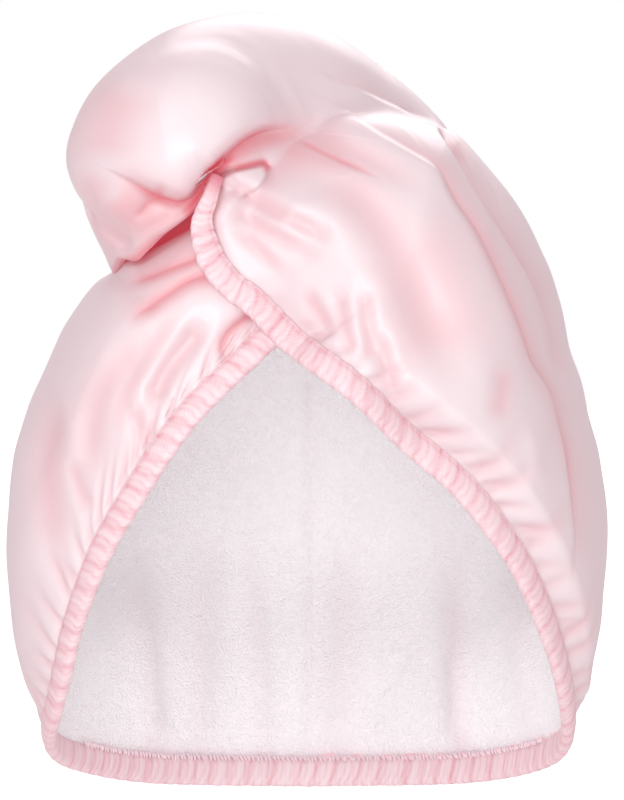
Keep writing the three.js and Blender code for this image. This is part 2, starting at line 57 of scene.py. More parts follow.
LINING_RISE, LINING_SIDE, LINING_FRONT, LINING_BACK = 104.0, 90.0, 87.0, 104.0
RIM_RISE = 4.3
CASING_WIDTH, CASING_THICKNESS = 9.6, 4.4
PUFF_LENGTH, LAP_RISE, LAP_CROWN_RISE = 30.0, 5.2, 7.2
HEAD = np.array([0.0, 0.0, SEAT - LINING_RISE])

# Opening edge: degrees round the head from the front, and share of the height above the nape
RIM = np.array([
    (-26.5, 0.752), (-27, 0.725), (-24.6, 0.684), (-20, 0.65), (-14.6, 0.617), (-6.1, 0.573),
    (5.2, 0.522), (18, 0.454), (30.9, 0.393), (41, 0.332), (48.4, 0.286), (56.2, 0.229),
    (66.5, 0.16), (76, 0.106), (87, 0.066), (100, 0.038), (115, 0.021), (132, 0.009),
    (150, 0.003), (180, 0), (210, 0.003), (228, 0.009), (245, 0.021), (260, 0.036),
    (274, 0.061), (286, 0.089), (296, 0.145), (301.4, 0.195), (308.7, 0.26), (314.7, 0.313),
    (323.1, 0.378), (330.1, 0.439), (336.6, 0.489), (344.9, 0.538), (351.4, 0.573), (358, 0.608)])
NAPE_ROW = 19

# Middle line of the rolled tail, then its half width along the head and its half height off it
ROLL = np.array([
    (-38, -52, 223, 22, 22), (-41, -50, 220, 32, 31), (-44, -42, 217, 38, 36), (-34, -24, 224, 40, 38),
    (-13, 4, 226, 45, 35), (2, 40, 214, 48, 31), (7, 78, 187, 45, 25),
    (5, 107, 150, 36, 17), (1, 117, 110, 28, 11), (0, 113, 72, 19, 7), (0, 106, 50, 11, 4.5)], float)

# the picture and the camera
EYE_DISTANCE = 6000.0
EYE = np.array([1.33, -EYE_DISTANCE, 132.3])
PICTURE = (624, 800)
PIXELS_PER_MM = 3.0
PICTURE_ZERO = np.array([308.0, 797.0])


def place(pixels):
    """Front-view millimetres (x, z) of picture pixels."""
    pixels = np.asarray(pixels, float)
    out = (pixels - PICTURE_ZERO) / PIXELS_PER_MM
    out[..., 1] *= -1
    return out


def seen(points):
    """Where the camera sees points, in front-view millimetres on the plane y = 0."""
    scale = EYE_DISTANCE / (EYE_DISTANCE + points[..., 1])
    return np.stack([EYE[0] + (points[..., 0] - EYE[0]) * scale,
                     EYE[2] + (points[..., 2] - EYE[2]) * scale], -1)


# small maths
def ease(low, high, value):
    share = np.clip((value - low) / (high - low), 0, 1)
    return share * share * (3 - 2 * share)


def unit(vectors):
    return vectors / np.maximum(np.linalg.norm(vectors, axis=-1, keepdims=True), 1e-9)


def catmull(rows, places):
    """Smooth reading of evenly spaced rows at fractional places."""
    rows = np.asarray(rows, float)
    last = len(rows) - 1
    index = np.clip(np.floor(places).astype(int), 0, last - 1)
    share = (places - index).reshape((-1,) + (1,) * (rows.ndim - 1))
    before, start = rows[np.maximum(index - 1, 0)], rows[index]
    end, after = rows[index + 1], rows[np.minimum(index + 2, last)]
    go, stop = (end - before) / 2, (after - start) / 2
    square, cube = share ** 2, share ** 3
    return ((2 * cube - 3 * square + 1) * start + (3 * square - 2 * cube) * end
            + (cube - 2 * square + share) * go + (cube - square) * stop)


def run_of(points):
    """Length of a path from its start to each of its points."""
    return np.concatenate([[0], np.cumsum(np.linalg.norm(np.diff(points, axis=0), axis=1))])


def read_at(steps, run, rows):
    return np.stack([np.interp(steps, run, rows[:, k]) for k in range(rows.shape[1])], 1)


def way_across(grid):
    """Distance along each row of a grid from its first column."""
    step = np.linalg.norm(np.diff(grid, axis=1), axis=2)
    return np.concatenate([np.zeros((len(grid), 1)), np.cumsum(step, axis=1)], 1)


def smooth_path(rows, count):
    """Rows joined by a smooth line and read again at even steps of length."""
    rows = np.asarray(rows, float)
    fine = catmull(rows, np.linspace(0, len(rows) - 1, 24 * len(rows)))
    run = run_of(fine)
    return read_at(np.linspace(0, run[-1], count), run, fine)


def even_path_with(values, points, share):
    """Values that go with the points of a path, read at shares of the path's length."""
    run = run_of(points)
    return read_at(share * run[-1], run, values)


def resized(grid, rows, columns):
    """A coarse grid read smoothly on a finer one."""
    tall = catmull(grid, np.linspace(0, grid.shape[0] - 1, rows))
    places = np.linspace(0, grid.shape[1] - 1, columns)
    return np.swapaxes(catmull(np.swapaxes(tall, 0, 1), places), 0, 1)


def wave_field(points, seed, size, terms=14):
    """Gentle seeded unevenness, about -1 to 1, with bumps of about the given size."""
    draw = np.random.default_rng(seed)
    total = np.zeros(points.shape[:-1])
    for _ in range(terms):
        heading = unit(draw.normal(size=3))
        pitch = size * draw.uniform(0.7, 1.6)
        total += np.sin(points @ heading * (2 * math.pi / pitch) + draw.uniform(0, 2 * math.pi))
    return total / math.sqrt(terms)


# the rounded forms, as in the solids
def rounded(way, side, front, back, rise, drop, side_power, front_power, back_power):
    """Reach of a rounded form from the head's centre in some directions."""
    x, y, z = way[..., 0], way[..., 1], way[..., 2]
    sagittal = y * y / (x * x + y * y + 1e-9)
    reach = np.where(y < 0, front, back)
    facing = np.where(y < 0, front_power, back_power)
    upper = side_power + (facing - side_power) * sagittal
    power = 2 + (upper - 2) * ease(0, 0.5, z)
    up = np.where(z > 0, rise, drop)
    total = np.abs(x / side) ** power + np.abs(y / reach) ** power + np.abs(z / up) ** power
    return total ** (-1 / power) - NAPE_TUCK * ease(0.1, 0.65, -z) * ease(0, 0.7, y)


def lining_reach(way):
    return rounded(way, LINING_SIDE, LINING_FRONT, LINING_BACK, LINING_RISE, LINING_DROP, 2, 2, 2)


def full_reach(way):
    lean = 0.5 + 0.5 * np.tanh((way[..., 0] - 0.1) / 0.3)
    rise = CROWN_LEFT + (CROWN_RIGHT - CROWN_LEFT) * lean
    return rounded(way, HALF_WIDTH, FRONT_REACH, BACK_REACH, rise, SKIRT_DROP, 1.8, 2.6, 2.1)


def base_reach(way):
    return lining_reach(way) + RIM_RISE


def lap_share(way):
    x, y, z = way[..., 0], way[..., 1], way[..., 2]
    return ease(0.15, 0.36, -y) * ease(-0.42, -0.06, -x) * ease(0, 0.25, z)


def turned(turn, tilt):
    turn, tilt = np.broadcast_arrays(np.radians(turn), np.radians(tilt))
    return np.stack([np.sin(turn) * np.cos(tilt), -np.cos(turn) * np.cos(tilt), np.sin(tilt)], -1)


LOWEST_TILT, HIGHEST_TILT, TILT_HALVINGS = -75.0, 85.0, 26


def at_height(turn, height, reach_of):
    low, high = np.full(len(turn), LOWEST_TILT), np.full(len(turn), HIGHEST_TILT)
    for _ in range(TILT_HALVINGS):
        middle = (low + high) / 2
        way = turned(turn, middle)
        under = reach_of(way) * way[:, 2] < height - HEAD[2]
        low, high = np.where(under, middle, low), np.where(under, high, middle)
    return turned(turn, (low + high) / 2)


def way_to(way, rim_points):
    """Shortest distance from the surface in some directions to the opening edge."""
    spot = (way * base_reach(way)[..., None]).reshape(-1, 3)
    best = np.full(len(spot), 1e9)
    for start, end in zip(rim_points[:-1], rim_points[1:]):
        run = end - start
        off = spot - start
        share = np.clip(off @ run / (run @ run), 0, 1)
        best = np.minimum(best, np.linalg.norm(off - share[:, None] * run, axis=1))
    return best.reshape(way.shape[:-1])


def puff(way):
    return np.sin(np.clip((way - CASING_WIDTH) / PUFF_LENGTH, 0, 1) * math.pi / 2) ** 0.85


def rim_run(rows, reach_of):
    fine = catmull(rows, np.linspace(0, len(rows) - 1, 4 * (len(rows) - 1) + 1))
    return at_height(fine[:, 0], fine[:, 1] * HEIGHT, reach_of)


LEFT_RIM = rim_run(RIM[NAPE_ROW:], base_reach)[::-1]
LEFT_RIM_POINTS = LEFT_RIM * base_reach(LEFT_RIM)[:, None]


def left_reach(way):
    base = base_reach(way)
    return base + (full_reach(way) - base) * puff(way_to(way, LEFT_RIM_POINTS))


def right_base(way):
    base = base_reach(way)
    return base + (left_reach(way) + LAP_RISE - base) * lap_share(way)


RIGHT_RIM = rim_run(RIM[:NAPE_ROW + 1], right_base)
RIGHT_RIM_POINTS = RIGHT_RIM * base_reach(RIGHT_RIM)[:, None]


def right_reach(way):
    base = right_base(way)
    full = full_reach(way) + LAP_CROWN_RISE * lap_share(way)
    return base + (full - base) * puff(way_to(way, RIGHT_RIM_POINTS))


# folds drawn in the front view
def near_path(spots, path):
    """Distance to a path, share along it, and the distance again, positive left of its heading."""
    best = np.full(len(spots), 1e9)
    side = np.ones(len(spots))
    count = len(path) - 1
    fars, shares = [], []
    for index in range(count):
        run = path[index + 1] - path[index]
        off = spots - path[index]
        along = np.clip(off @ run / max(run @ run, 1e-9), 0, 1)
        rest = off - along[:, None] * run
        far = np.hypot(rest[:, 0], rest[:, 1])
        closer = far < best
        best = np.where(closer, far, best)
        side = np.where(closer, np.sign(run[0] * off[:, 1] - run[1] * off[:, 0]), side)
        fars.append(far.astype(np.float32))
        shares.append(((index + along) / count).astype(np.float32))
    # Where two limbs of a bend are equally near, the share passes evenly from one to the other.
    weights = np.exp(-(np.array(fars) - best) / 2.5)
    share = np.sum(weights * np.array(shares), 0) / np.sum(weights, 0)
    return best, share, side * best


def fold_profile(kind, far, side, depth, width):
    """Height of one fold, and how deep in its shade a point lies, from 0 to 1."""
    if kind == "valley":
        shape = np.exp(-(far / width) ** 2)
        return -depth * shape, 0.25 * shape
    if kind == "crease":
        shape = np.exp(-np.sqrt(far * far + 0.16) / width)
        return -depth * shape, 0.8 * shape
    if kind == "ridge":
        return depth * np.exp(-(far / width) ** 2), np.zeros_like(far)
    if kind == "shade":
        return np.zeros_like(far), depth * np.exp(-(far / width) ** 2)
    if kind == "lip":
        # The roll bulges over a deep groove: its cloth is on the left of the path.
        pillow = 0.6 * depth * (1 - np.exp(-far / 5)) * np.exp(-far / 34)
        turn = 4.5 * (1 - np.sqrt(1 - (1 - np.clip(far / 4.5, 0, 1)) ** 2))
        groove = -(depth + 4.5) * np.exp(-far / width)
        over = ease(-EDGE_SOFTNESS, EDGE_SOFTNESS, side)
        return groove + (pillow - turn - groove) * over, (1 - over) * np.exp(-far / 4.0)
    # An edge: the cloth on one side ends in a rounded lip, and the cloth beyond starts lower.
    low = ease(-EDGE_SOFTNESS, EDGE_SOFTNESS, side if kind == "edge_left" else -side)
    round_over = min(depth * 0.6, 3.2)
    lip = -round_over * (1 - np.sqrt(1 - (1 - np.clip(far / round_over, 0, 1)) ** 2))
    floor = -(depth + round_over) * np.exp(-far / width)
    shade = low * np.exp(-far / (0.3 * width + 1))
    return lip + (floor - lip) * low, shade * min(depth / 7, 1)


def relief(spots, folds):
    """Sum of all folds at front-view spots."""
    height = np.zeros(len(spots))
    shade = np.zeros(len(spots))
    for kind, depth, width, start, end, pixels in folds:
        path = smooth_path(place(pixels), max(6 * len(pixels), 16))
        reach = 4.5 * width + 4
        near = np.all((spots > path.min(0) - reach) & (spots < path.max(0) + reach), axis=1)
        if not near.any():
            continue
        far, share, side = near_path(spots[near], path)
        taper = ease(0, start, share) if start else 1.0
        taper = taper * ease(0, end, 1 - share) if end else taper
        rise, dark = fold_profile(kind, far, side, depth, width)
        cut = 1 - ease(0.75 * reach, reach, far)
        height[near] += rise * taper * cut
        shade[near] = np.maximum(shade[near], dark * taper * cut)
    return height, shade


EDGE_SOFTNESS = 0.8

# kind, depth, width, share faded in, share faded out, path in pixels
LIP_FOLDS = [
    ("lip", 7.0, 9.0, 0.3, 0.22, [
        (97, 160), (125, 173), (150, 187), (166, 194.5), (178, 198), (188, 196), (194, 191), (200, 181),
        (208, 171), (220, 157), (236, 141), (250, 131.5), (265, 126.5), (283, 124.5), (300, 126)]),
]
RIGHT_FOLDS = [
    ("shade", 1.0, 3.0, 0.1, 0.3, [
        (188, 212), (197, 197), (204, 186), (211, 177), (220, 166), (231, 154), (244, 143)]),
    ("shade", 0.6, 4.2, 0.2, 0.5, [
        (208, 184), (222, 168), (240, 150), (260, 139), (282, 134), (305, 135), (335, 146)]),
    ("shade", 0.34, 9.0, 0.3, 0.5, [(262, 150), (300, 147), (345, 158), (385, 180)]),
    ("shade", 0.9, 1.5, 0.25, 0.1, [(236, 167), (250, 164), (262, 162), (267, 167)]),
    ("shade", 0.2, 4.5, 0.25, 0.2, [
        (440, 165), (475, 222), (506, 283), (542, 357), (570, 413), (578, 500)]),
    ("shade", 0.2, 4.5, 0.25, 0.2, [(459, 142), (499, 202), (539, 265), (569, 337), (585, 400)]),
    ("shade", 0.28, 16.0, 0.3, 0.3, [(395, 215), (418, 265), (436, 320), (448, 380)]),
    ("valley", 4.2, 5.5, 0.2, 0.6, [
        (292, 127), (318, 134), (345, 145), (375, 158), (405, 178), (432, 212)]),
    ("crease", 1.4, 1.6, 0.2, 0.5, [
        (291, 131), (303, 140), (318, 149), (340, 158), (364, 167), (395, 182)]),
    ("valley", 6.0, 9.0, 0.25, 0.35, [
        (284, 182), (303, 178), (330, 182), (357, 193), (387, 233), (410, 273), (430, 320), (450, 370),
        (459, 410)]),
    ("valley", 3.2, 3.4, 0.15, 0.4, [(224, 184), (250, 197), (275, 211), (308, 227), (345, 245)]),
    ("valley", 2.6, 3.2, 0.2, 0.4, [(228, 203), (245, 216), (270, 232), (300, 248), (328, 262)]),
    ("valley", 1.6, 3.0, 0.3, 0.4, [(232, 222), (250, 240), (270, 262), (292, 280)]),
    ("edge_left", 2.6, 2.2, 0.1, 0.35, [
        (219, 177), (227, 171), (240, 168), (255, 165), (265, 164), (268, 170), (265, 180), (258, 189),
        (249, 194)]),
    ("edge_left", 3.6, 10.0, 0.42, 0.25, [
        (290, 85), (333, 97), (373, 120), (413, 147), (437, 170), (453, 197), (472, 223), (487, 250),
        (503, 283), (520, 320), (540, 357), (557, 383), (567, 413), (574, 473), (577, 535), (570, 606)]),
    ("edge_left", 3.0, 9.0, 0.42, 0.2, [
        (290, 53), (330, 70), (370, 83), (407, 98), (437, 120), (457, 147), (477, 177), (497, 207),
        (517, 237), (537, 270), (553, 303), (567, 337), (576, 370)]),
    ("ridge", 6.5, 11.0, 0.12, 0.4, [(234, 190), (250, 192), (268, 198), (292, 212), (318, 232)]),
    ("crease", 1.0, 1.5, 0.3, 0.3, [(400, 87), (433, 113), (460, 137), (480, 165)]),
    ("ridge", 1.8, 4.0, 0.3, 0.3, [(541, 427), (541, 455), (539, 487)]),
    ("valley", 1.8, 3.0, 0.2, 0.3, [(310, 300), (322, 318), (330, 330)]),
    ("valley", 2.2, 3.0, 0.3, 0.1, [(338, 290), (343, 320), (349, 345)]),
    ("valley", 2.2, 3.2, 0.3, 0.1, [(364, 285), (367, 320), (371, 350)]),
    ("valley", 2.4, 3.4, 0.3, 0.1, [(378, 330), (384, 357), (390, 385)]),
    ("valley", 0.9, 4.0, 0.4, 0.2, [(507, 365), (506, 385), (502, 408)]),
]
ROLL_FOLDS = [
    ("shade", 0.42, 11.0, 0.2, 0.0, [(112, 190), (135, 208), (160, 220), (185, 216)]),
    ("shade", 0.3, 8.0, 0.3, 0.2, [(96, 205), (106, 225), (120, 245)]),
    ("crease", 2.6, 2.2, 0.15, 0.4, [(158, 190), (148, 200), (137, 211), (130, 217)]),
    ("valley", 1.6, 7.0, 0.3, 0.4, [(98, 165), (90, 185), (92, 210), (100, 235)]),
    ("valley", 1.2, 12.0, 0.3, 0.3, [(120, 60), (105, 100), (97, 140), (97, 160)]),
]
LEFT_FOLDS = [
    ("shade", 0.95, 2.4, 0.0, 0.0, [(128, 250), (152, 240), (176, 228), (200, 216)]),
    ("edge_left", 3.5, 8.0, 0.0, 0.0, [
        (60, 292), (100, 268), (127, 256), (152, 245), (172, 235), (190, 226), (204, 216), (220, 206)]),
    ("crease", 2.2, 2.6, 0.3, 0.1, [(122, 281), (140, 279), (160, 273), (187, 263), (203, 256)]),
    ("crease", 2.6, 3.0, 0.3, 0.1, [(128, 327), (143, 312), (160, 300), (187, 282), (212, 274)]),
    ("valley", 5.5, 4.2, 0.2, 0.25, [
        (204, 322), (197, 332), (183, 350), (170, 367), (158, 387), (154, 400), (161, 412)]),
    ("crease", 3.4, 1.8, 0.2, 0.0, [(222, 350), (224, 340), (230, 331), (240, 322), (250, 315)]),
    ("valley", 4.2, 6.5, 0.2, 0.4, [
        (150, 333), (138, 349), (127, 363), (103, 390), (91, 427), (87, 470), (88, 510)]),
    ("valley", 3.2, 6.0, 0.3, 0.3, [(60, 380), (54, 412), (50, 447), (49, 490), (56, 533), (70, 570)]),
    ("valley", 1.8, 2.8, 0.2, 0.3, [(73, 470), (80, 488), (88, 508)]),
    ("ridge", 2.2, 4.5, 0.3, 0.3, [(72, 405), (70, 430), (72, 467)]),
    ("valley", 2.4, 4.0, 0.3, 0.2, [(133, 405), (138, 425), (150, 446)]),
    ("valley", 2.0, 4.0, 0.3, 0.3, [
        (188, 300), (170, 322), (150, 352), (130, 385), (118, 420), (114, 450)]),
]

# Outline of the whole wrap in the front view, in millimetres, clockwise from the left notch
OUTLINE = np.array([
    (-66, 176), (-69, 182), (-74, 189), (-76, 196), (-80, 202), (-82, 209), (-82, 216), (-80, 222),
    (-77, 229), (-73, 236), (-67, 242), (-58, 249), (-46, 256), (-33, 260), (-19, 262), (-6, 260),
    (7, 256), (18, 249), (27, 242), (35, 236), (42, 229), (49, 222), (55, 216), (61, 209), (67, 202),
    (71, 196), (75, 189), (78, 182), (81, 176), (83, 169), (85, 162), (86, 156), (87, 149), (90, 142),
    (92, 136), (93, 129), (95, 122), (97, 116), (98, 109), (100, 96), (100, 82), (99, 69), (98, 56),
    (95, 42), (93, 29), (88, 16), (-85, 16), (-92, 29), (-96, 42), (-99, 56), (-100, 69), (-101, 82),
    (-100, 96), (-99, 109), (-98, 116), (-96, 122), (-94, 129), (-91, 136), (-88, 142), (-85, 149),
    (-82, 156), (-78, 162), (-73, 169)], float)
OUTLINE_CENTRE = np.array([0.0, 118.0])
OUTLINE_BINS = 240


def polar(spots):
    off = spots - OUTLINE_CENTRE
    return np.arctan2(off[..., 1], off[..., 0]), np.hypot(off[..., 0], off[..., 1])


def outline_of(spots):
    """Farthest reach of some spots round the outline's centre, in even bins of angle."""
    angle, reach = polar(spots.reshape(-1, 2))
    bins = ((angle + math.pi) / (2 * math.pi) * OUTLINE_BINS).astype(int) % OUTLINE_BINS
    far = np.zeros(OUTLINE_BINS)
    np.maximum.at(far, bins, reach)
    return far


# The opening's side of the outline stays as it is, within this angle of straight down.
OPEN_BELOW = math.radians(48)
LEAST_STRETCH, MOST_STRETCH = 0.9, 1.12


def fitted_outline(surfaces):
    """A table of angle to stretch that takes the surfaces' outline to the wanted one."""
    far = outline_of(np.concatenate([seen(s).reshape(-1, 2) for s in surfaces]))
    angles = (np.arange(OUTLINE_BINS) + 0.5) / OUTLINE_BINS * 2 * math.pi - math.pi
    angle, reach = polar(OUTLINE)
    order = np.argsort(angle)
    wanted = np.interp(angles, angle[order], reach[order], period=2 * math.pi)
    ratio = wanted / np.maximum(far, 1)
    ratio[np.abs(angles + math.pi / 2) < OPEN_BELOW] = 1
    ratio = np.clip(ratio, LEAST_STRETCH, MOST_STRETCH)
    kernel = np.hanning(7)
    ratio = np.convolve(np.concatenate([ratio[-3:], ratio, ratio[:3]]), kernel / kernel.sum(), "valid")
    return angles, ratio, far


def stretched(points, fit):
    angles, ratio, far = fit
    angle, reach = polar(seen(points))
    scale = np.interp(angle, angles, ratio, period=2 * math.pi)
    edge = np.interp(angle, angles, far, period=2 * math.pi)
    share = ease(0.55, 1.0, reach / edge)
    factor = 1 + (scale - 1) * share
    out = points.copy()
    out[..., 0] = OUTLINE_CENTRE[0] + (points[..., 0] - OUTLINE_CENTRE[0]) * factor
    out[..., 2] = OUTLINE_CENTRE[1] + (points[..., 2] - OUTLINE_CENTRE[1]) * factor
    return out


# meshes
def grid_normals(points):
    go = np.gradient(points, axis=0)
    turn = np.gradient(points, axis=1)
    return unit(np.cross(go, turn))


def quads(rows, columns, closed=False):
    ids = np.arange(rows * columns).reshape(rows, columns)
    if closed:
        ids = np.concatenate([ids, ids[:, :1]], 1)
    return np.stack([ids[:-1, :-1], ids[:-1, 1:], ids[1:, 1:], ids[1:, :-1]], -1).reshape(-1, 4)


def cloth_object(name, points, faces, material, values=None, normals=None):
    """A mesh object from working points, put into the frame in metres."""
    spots = points.reshape(-1, 3).astype(float)
    spots = (spots - np.array([0, 0, SEAT])) / 1000
    mesh = bpy.data.meshes.new(name)
    mesh.vertices.add(len(spots))
    mesh.vertices.foreach_set("co", spots.ravel())
    faces = np.asarray(faces)
    mesh.loops.add(faces.size)
    mesh.loops.foreach_set("vertex_index", faces.ravel().astype(np.int32))
    mesh.polygons.add(len(faces))
    mesh.polygons.foreach_set("loop_start", (np.arange(len(faces)) * faces.shape[1]).astype(np.int32))
    mesh.update(calc_edges=True)
    mesh.validate()
    mesh.polygons.foreach_set("use_smooth", np.ones(len(mesh.polygons), bool))
    for key, value in (values or {}).items():
        layer = mesh.attributes.new(key, "FLOAT", "POINT")
        layer.data.foreach_set("value", np.asarray(value, np.float32).ravel())
    if normals is not None:
        mesh.normals_split_custom_set_from_vertices(normals.reshape(-1, 3).tolist())
    mesh.materials.append(material)
    obj = bpy.data.objects.new(name, mesh)
    bpy.context.scene.collection.objects.link(obj)
    return obj


# materials
def srgb(red, green, blue):
    values = [v / 255 for v in (red, green, blue)]
    return tuple(v / 12.92 if v <= 0.04045 else ((v + 0.055) / 1.055) ** 2.4 for v in values) + (1.0,)


def new_group(name, inputs, outputs):
    group = bpy.data.node_groups.new(name, "ShaderNodeTree")
    for label, kind, value in inputs:
        socket = group.interface.new_socket(label, in_out="INPUT", socket_type=kind)
        socket.default_value = value
    for label, kind in outputs:
        group.interface.new_socket(label, in_out="OUTPUT", socket_type=kind)
    return group, group.nodes.new("NodeGroupInput"), group.nodes.new("NodeGroupOutput")


def put(tree, node, inputs):
    """Puts plain values, or links from other nodes, into some inputs of a node."""
    for key, value in inputs.items():
        if isinstance(value, bpy.types.NodeSocket):
            tree.links.new(value, node.inputs[key])
        else:
            node.inputs[key].default_value = value


def add_node(tree, kind, inputs=None, **settings):
    node = tree.nodes.new("ShaderNode" + kind)
    for key, value in settings.items():
        setattr(node, key, value)
    put(tree, node, inputs or {})
    return node


def math_node(tree, operation, *values, **settings):
    return add_node(tree, "Math", dict(enumerate(values)), operation=operation, **settings).outputs[0]


# places of a colour mix node's inputs and output
MIX_SHARE, MIX_FIRST, MIX_SECOND, MIX_RESULT = 0, 6, 7, 2


def colour_mix(tree, share, first, second, blend="MIX"):
    return add_node(tree, "Mix", {MIX_SHARE: share, MIX_FIRST: first, MIX_SECOND: second},
                    data_type="RGBA", blend_type=blend).outputs[MIX_RESULT]


def build_fold_painted_shade():
    """Cloth colour with painted shade: it deepens where the attribute fold_shade says that folds close
    in.
    """
    group, start, end = new_group(
        "fold_painted_shade",
        [("Cloth", "NodeSocketColor", (1, 1, 1, 1)), ("Deep", "NodeSocketColor", (1, 0, 0, 1)),
         ("Amount", "NodeSocketFloat", 1.0), ("Mottle", "NodeSocketFloat", 0.03)],
        [("Color", "NodeSocketColor"), ("Depth", "NodeSocketFloat")])
    shade = add_node(group, "Attribute", attribute_name="fold_shade")
    where = add_node(group, "TexCoord")
    cloud = add_node(group, "TexNoise", {"Scale": 24, "Detail": 3, "Vector": where.outputs["Object"]})
    drift = math_node(group, "SUBTRACT", cloud.outputs["Fac"], 0.5)
    drift = math_node(group, "MULTIPLY", drift, start.outputs["Mottle"])
    share = math_node(group, "MULTIPLY", shade.outputs["Fac"], start.outputs["Amount"])
    share = math_node(group, "ADD", share, drift, use_clamp=True)
    shaded_colour = colour_mix(group, share, start.outputs["Cloth"], start.outputs["Deep"])
    put(group, end, {"Color": shaded_colour, "Depth": shade.outputs["Fac"]})
    return group


def build_fine_grain():
    """Height of a fine even cloth grain: two crossed sets of threads broken by a little noise."""
    group, start, end = new_group(
        "fine_grain",
        [("Threads", "NodeSocketFloat", 900.0), ("Rough", "NodeSocketFloat", 0.5)],
        [("Height", "NodeSocketFloat")])
    laid = {"Vector": add_node(group, "TexCoord").outputs["Object"], "Scale": start.outputs["Threads"]}
    warp, weft = (add_node(group, "TexWave", {"Distortion": 1.2, **laid}, bands_direction=heading)
                  for heading in ("X", "Z"))
    fuzz = add_node(group, "TexNoise", {"Detail": 4, **laid})
    woven = math_node(group, "MULTIPLY", warp.outputs["Fac"], weft.outputs["Fac"])
    rough = math_node(group, "MULTIPLY", fuzz.outputs["Fac"], start.outputs["Rough"])
    group.links.new(math_node(group, "ADD", woven, rough), end.inputs["Height"])
    return group


def build_pile():
    """Height of a fine looped pile: small knots of yarn over softer clumps."""
    group, start, end = new_group(
        "looped_pile", [("Loops", "NodeSocketFloat", 700.0), ("Clumps", "NodeSocketFloat", 160.0)],
        [("Height", "NodeSocketFloat")])
    where = add_node(group, "TexCoord").outputs["Object"]
    loops = add_node(group, "TexVoronoi", feature="SMOOTH_F1")
    put(group, loops, {"Vector": where, "Scale": start.outputs["Loops"]})
    clumps = add_node(group, "TexNoise", {"Detail": 5})
    put(group, clumps, {"Vector": where, "Scale": start.outputs["Clumps"]})
    knots = math_node(group, "MULTIPLY", loops.outputs["Distance"], -0.9)
    group.links.new(math_node(group, "ADD", knots, clumps.outputs["Fac"]), end.inputs["Height"])
    return group


def use_group(tree, group, **values):
    node = add_node(tree, "Group", node_tree=group)
    put(tree, node, values)
    return node


PILE_HEIGHT, GRAIN_HEIGHT = 0.0012, 0.0004


# Painted shade: deep is the colour that folds are darkened to, and through is how strongly they glow in
# it.
def cloth_material(name, cloth, deep, amount, roughness, sheen, threads, grain, mottle=0.04,
                   specular=0.5, pile=False, grazing_shade=None, through=0.0):
    material = bpy.data.materials.new(name)
    material.use_nodes = True
    tree = material.node_tree
    surface = tree.nodes["Principled BSDF"]
    painted_shade = use_group(tree, FOLD_PAINTED_SHADE, Cloth=cloth, Deep=deep, Amount=amount, Mottle=mottle)
    colour = painted_shade.outputs["Color"]
    if grazing_shade:
        # Painted shade: seen at a slant, the colour is multiplied towards a deeper pink.
        edge = add_node(tree, "LayerWeight", {"Blend": 0.42})
        colour = colour_mix(tree, edge.outputs["Facing"], colour, grazing_shade, "MULTIPLY")
    if through:
        # Painted glow: the cloth emits its deep shade colour where folds close in and on its back faces,
        # standing in for light that passes through the thin cloth.
        inside = add_node(tree, "NewGeometry")
        glow = math_node(tree, "MULTIPLY_ADD", painted_shade.outputs["Depth"], through,
                         math_node(tree, "MULTIPLY", inside.outputs["Backfacing"], through))
        put(tree, surface, {"Emission Strength": glow, "Emission Color": deep})
    if pile:
        height = use_group(tree, LOOPED_PILE, Loops=threads, Clumps=threads / 4)
    else:
        height = use_group(tree, FINE_GRAIN, Threads=threads, Rough=1.0)
    bump = add_node(tree, "Bump", {"Strength": grain, "Distance": PILE_HEIGHT if pile else GRAIN_HEIGHT,
                                   "Height": height.outputs["Height"]})
    put(tree, surface, {"Base Color": colour, "Normal": bump.outputs["Normal"], "Roughness": roughness,
                        "Specular IOR Level": specular, "Sheen Weight": sheen, "Sheen Roughness": 0.4})
    return material


FOLD_PAINTED_SHADE = build_fold_painted_shade()
FINE_GRAIN = build_fine_grain()
LOOPED_PILE = build_pile()
# The second colour of each cloth is the painted shade of its folds.
SATIN = cloth_material("satin_blush", srgb(234, 222, 225), srgb(198, 68, 84),
                       0.85, 0.36, 0.12, 1400, 0.06, grazing_shade=(0.94, 0.82, 0.85, 1), through=0.3)
BAND = cloth_material("satin_casing", srgb(234, 220, 223), srgb(204, 110, 128),
                       0.9, 0.5, 0.15, 1200, 0.1, grazing_shade=(0.95, 0.84, 0.86, 1), through=0.1)
TERRY = cloth_material("terry_pile", srgb(254, 251, 253), srgb(226, 190, 202),
                       0.6, 0.95, 0.5, 1500, 0.6, 0.05, 0.2, pile=True)
BUTTON = cloth_material("button_gloss", srgb(238, 196, 206), srgb(205, 140, 150),
                       0.5, 0.25, 0.0, 300, 0.02)
THREAD = cloth_material("seam_thread", srgb(246, 222, 229), srgb(216, 140, 156),
                       0.5, 0.6, 0.2, 900, 0.2)


# the gathered casing
CASING_STEP = 0.6
CASING_RING = 30
FOOT_SMOOTHING = 7
GATHER_PITCH, MINOR_PITCH, CRIMP_PITCH = 8.0, 3.1, 1.7
TWIST_TOP = np.array([
    (-32.3, -74, 209.7), (-34, -75.5, 205), (-36, -76, 200), (-38.3, -76, 196), (-39.3, -76, 192),
    (-39.2, -76.5, 187), (-37.6, -77.5, 180), (-34.6, -78.3, 174.5), (-31, -79, 170.5),
    (-26.5, -79, 165.8)])
RIM_ROW_AFTER_TWIST = 15


def casing_run():
    """Feet of the casing from the twist round the nape to the crossing, and its right part's count."""
    lead = TWIST_TOP - HEAD
    rim = RIGHT_RIM * right_base(RIGHT_RIM)[:, None]
    right = np.concatenate([lead, rim[RIM_ROW_AFTER_TWIST:]])
    left = (LEFT_RIM[:-1] * base_reach(LEFT_RIM[:-1])[:, None])[::-1]
    return np.concatenate([right, left]), len(right)


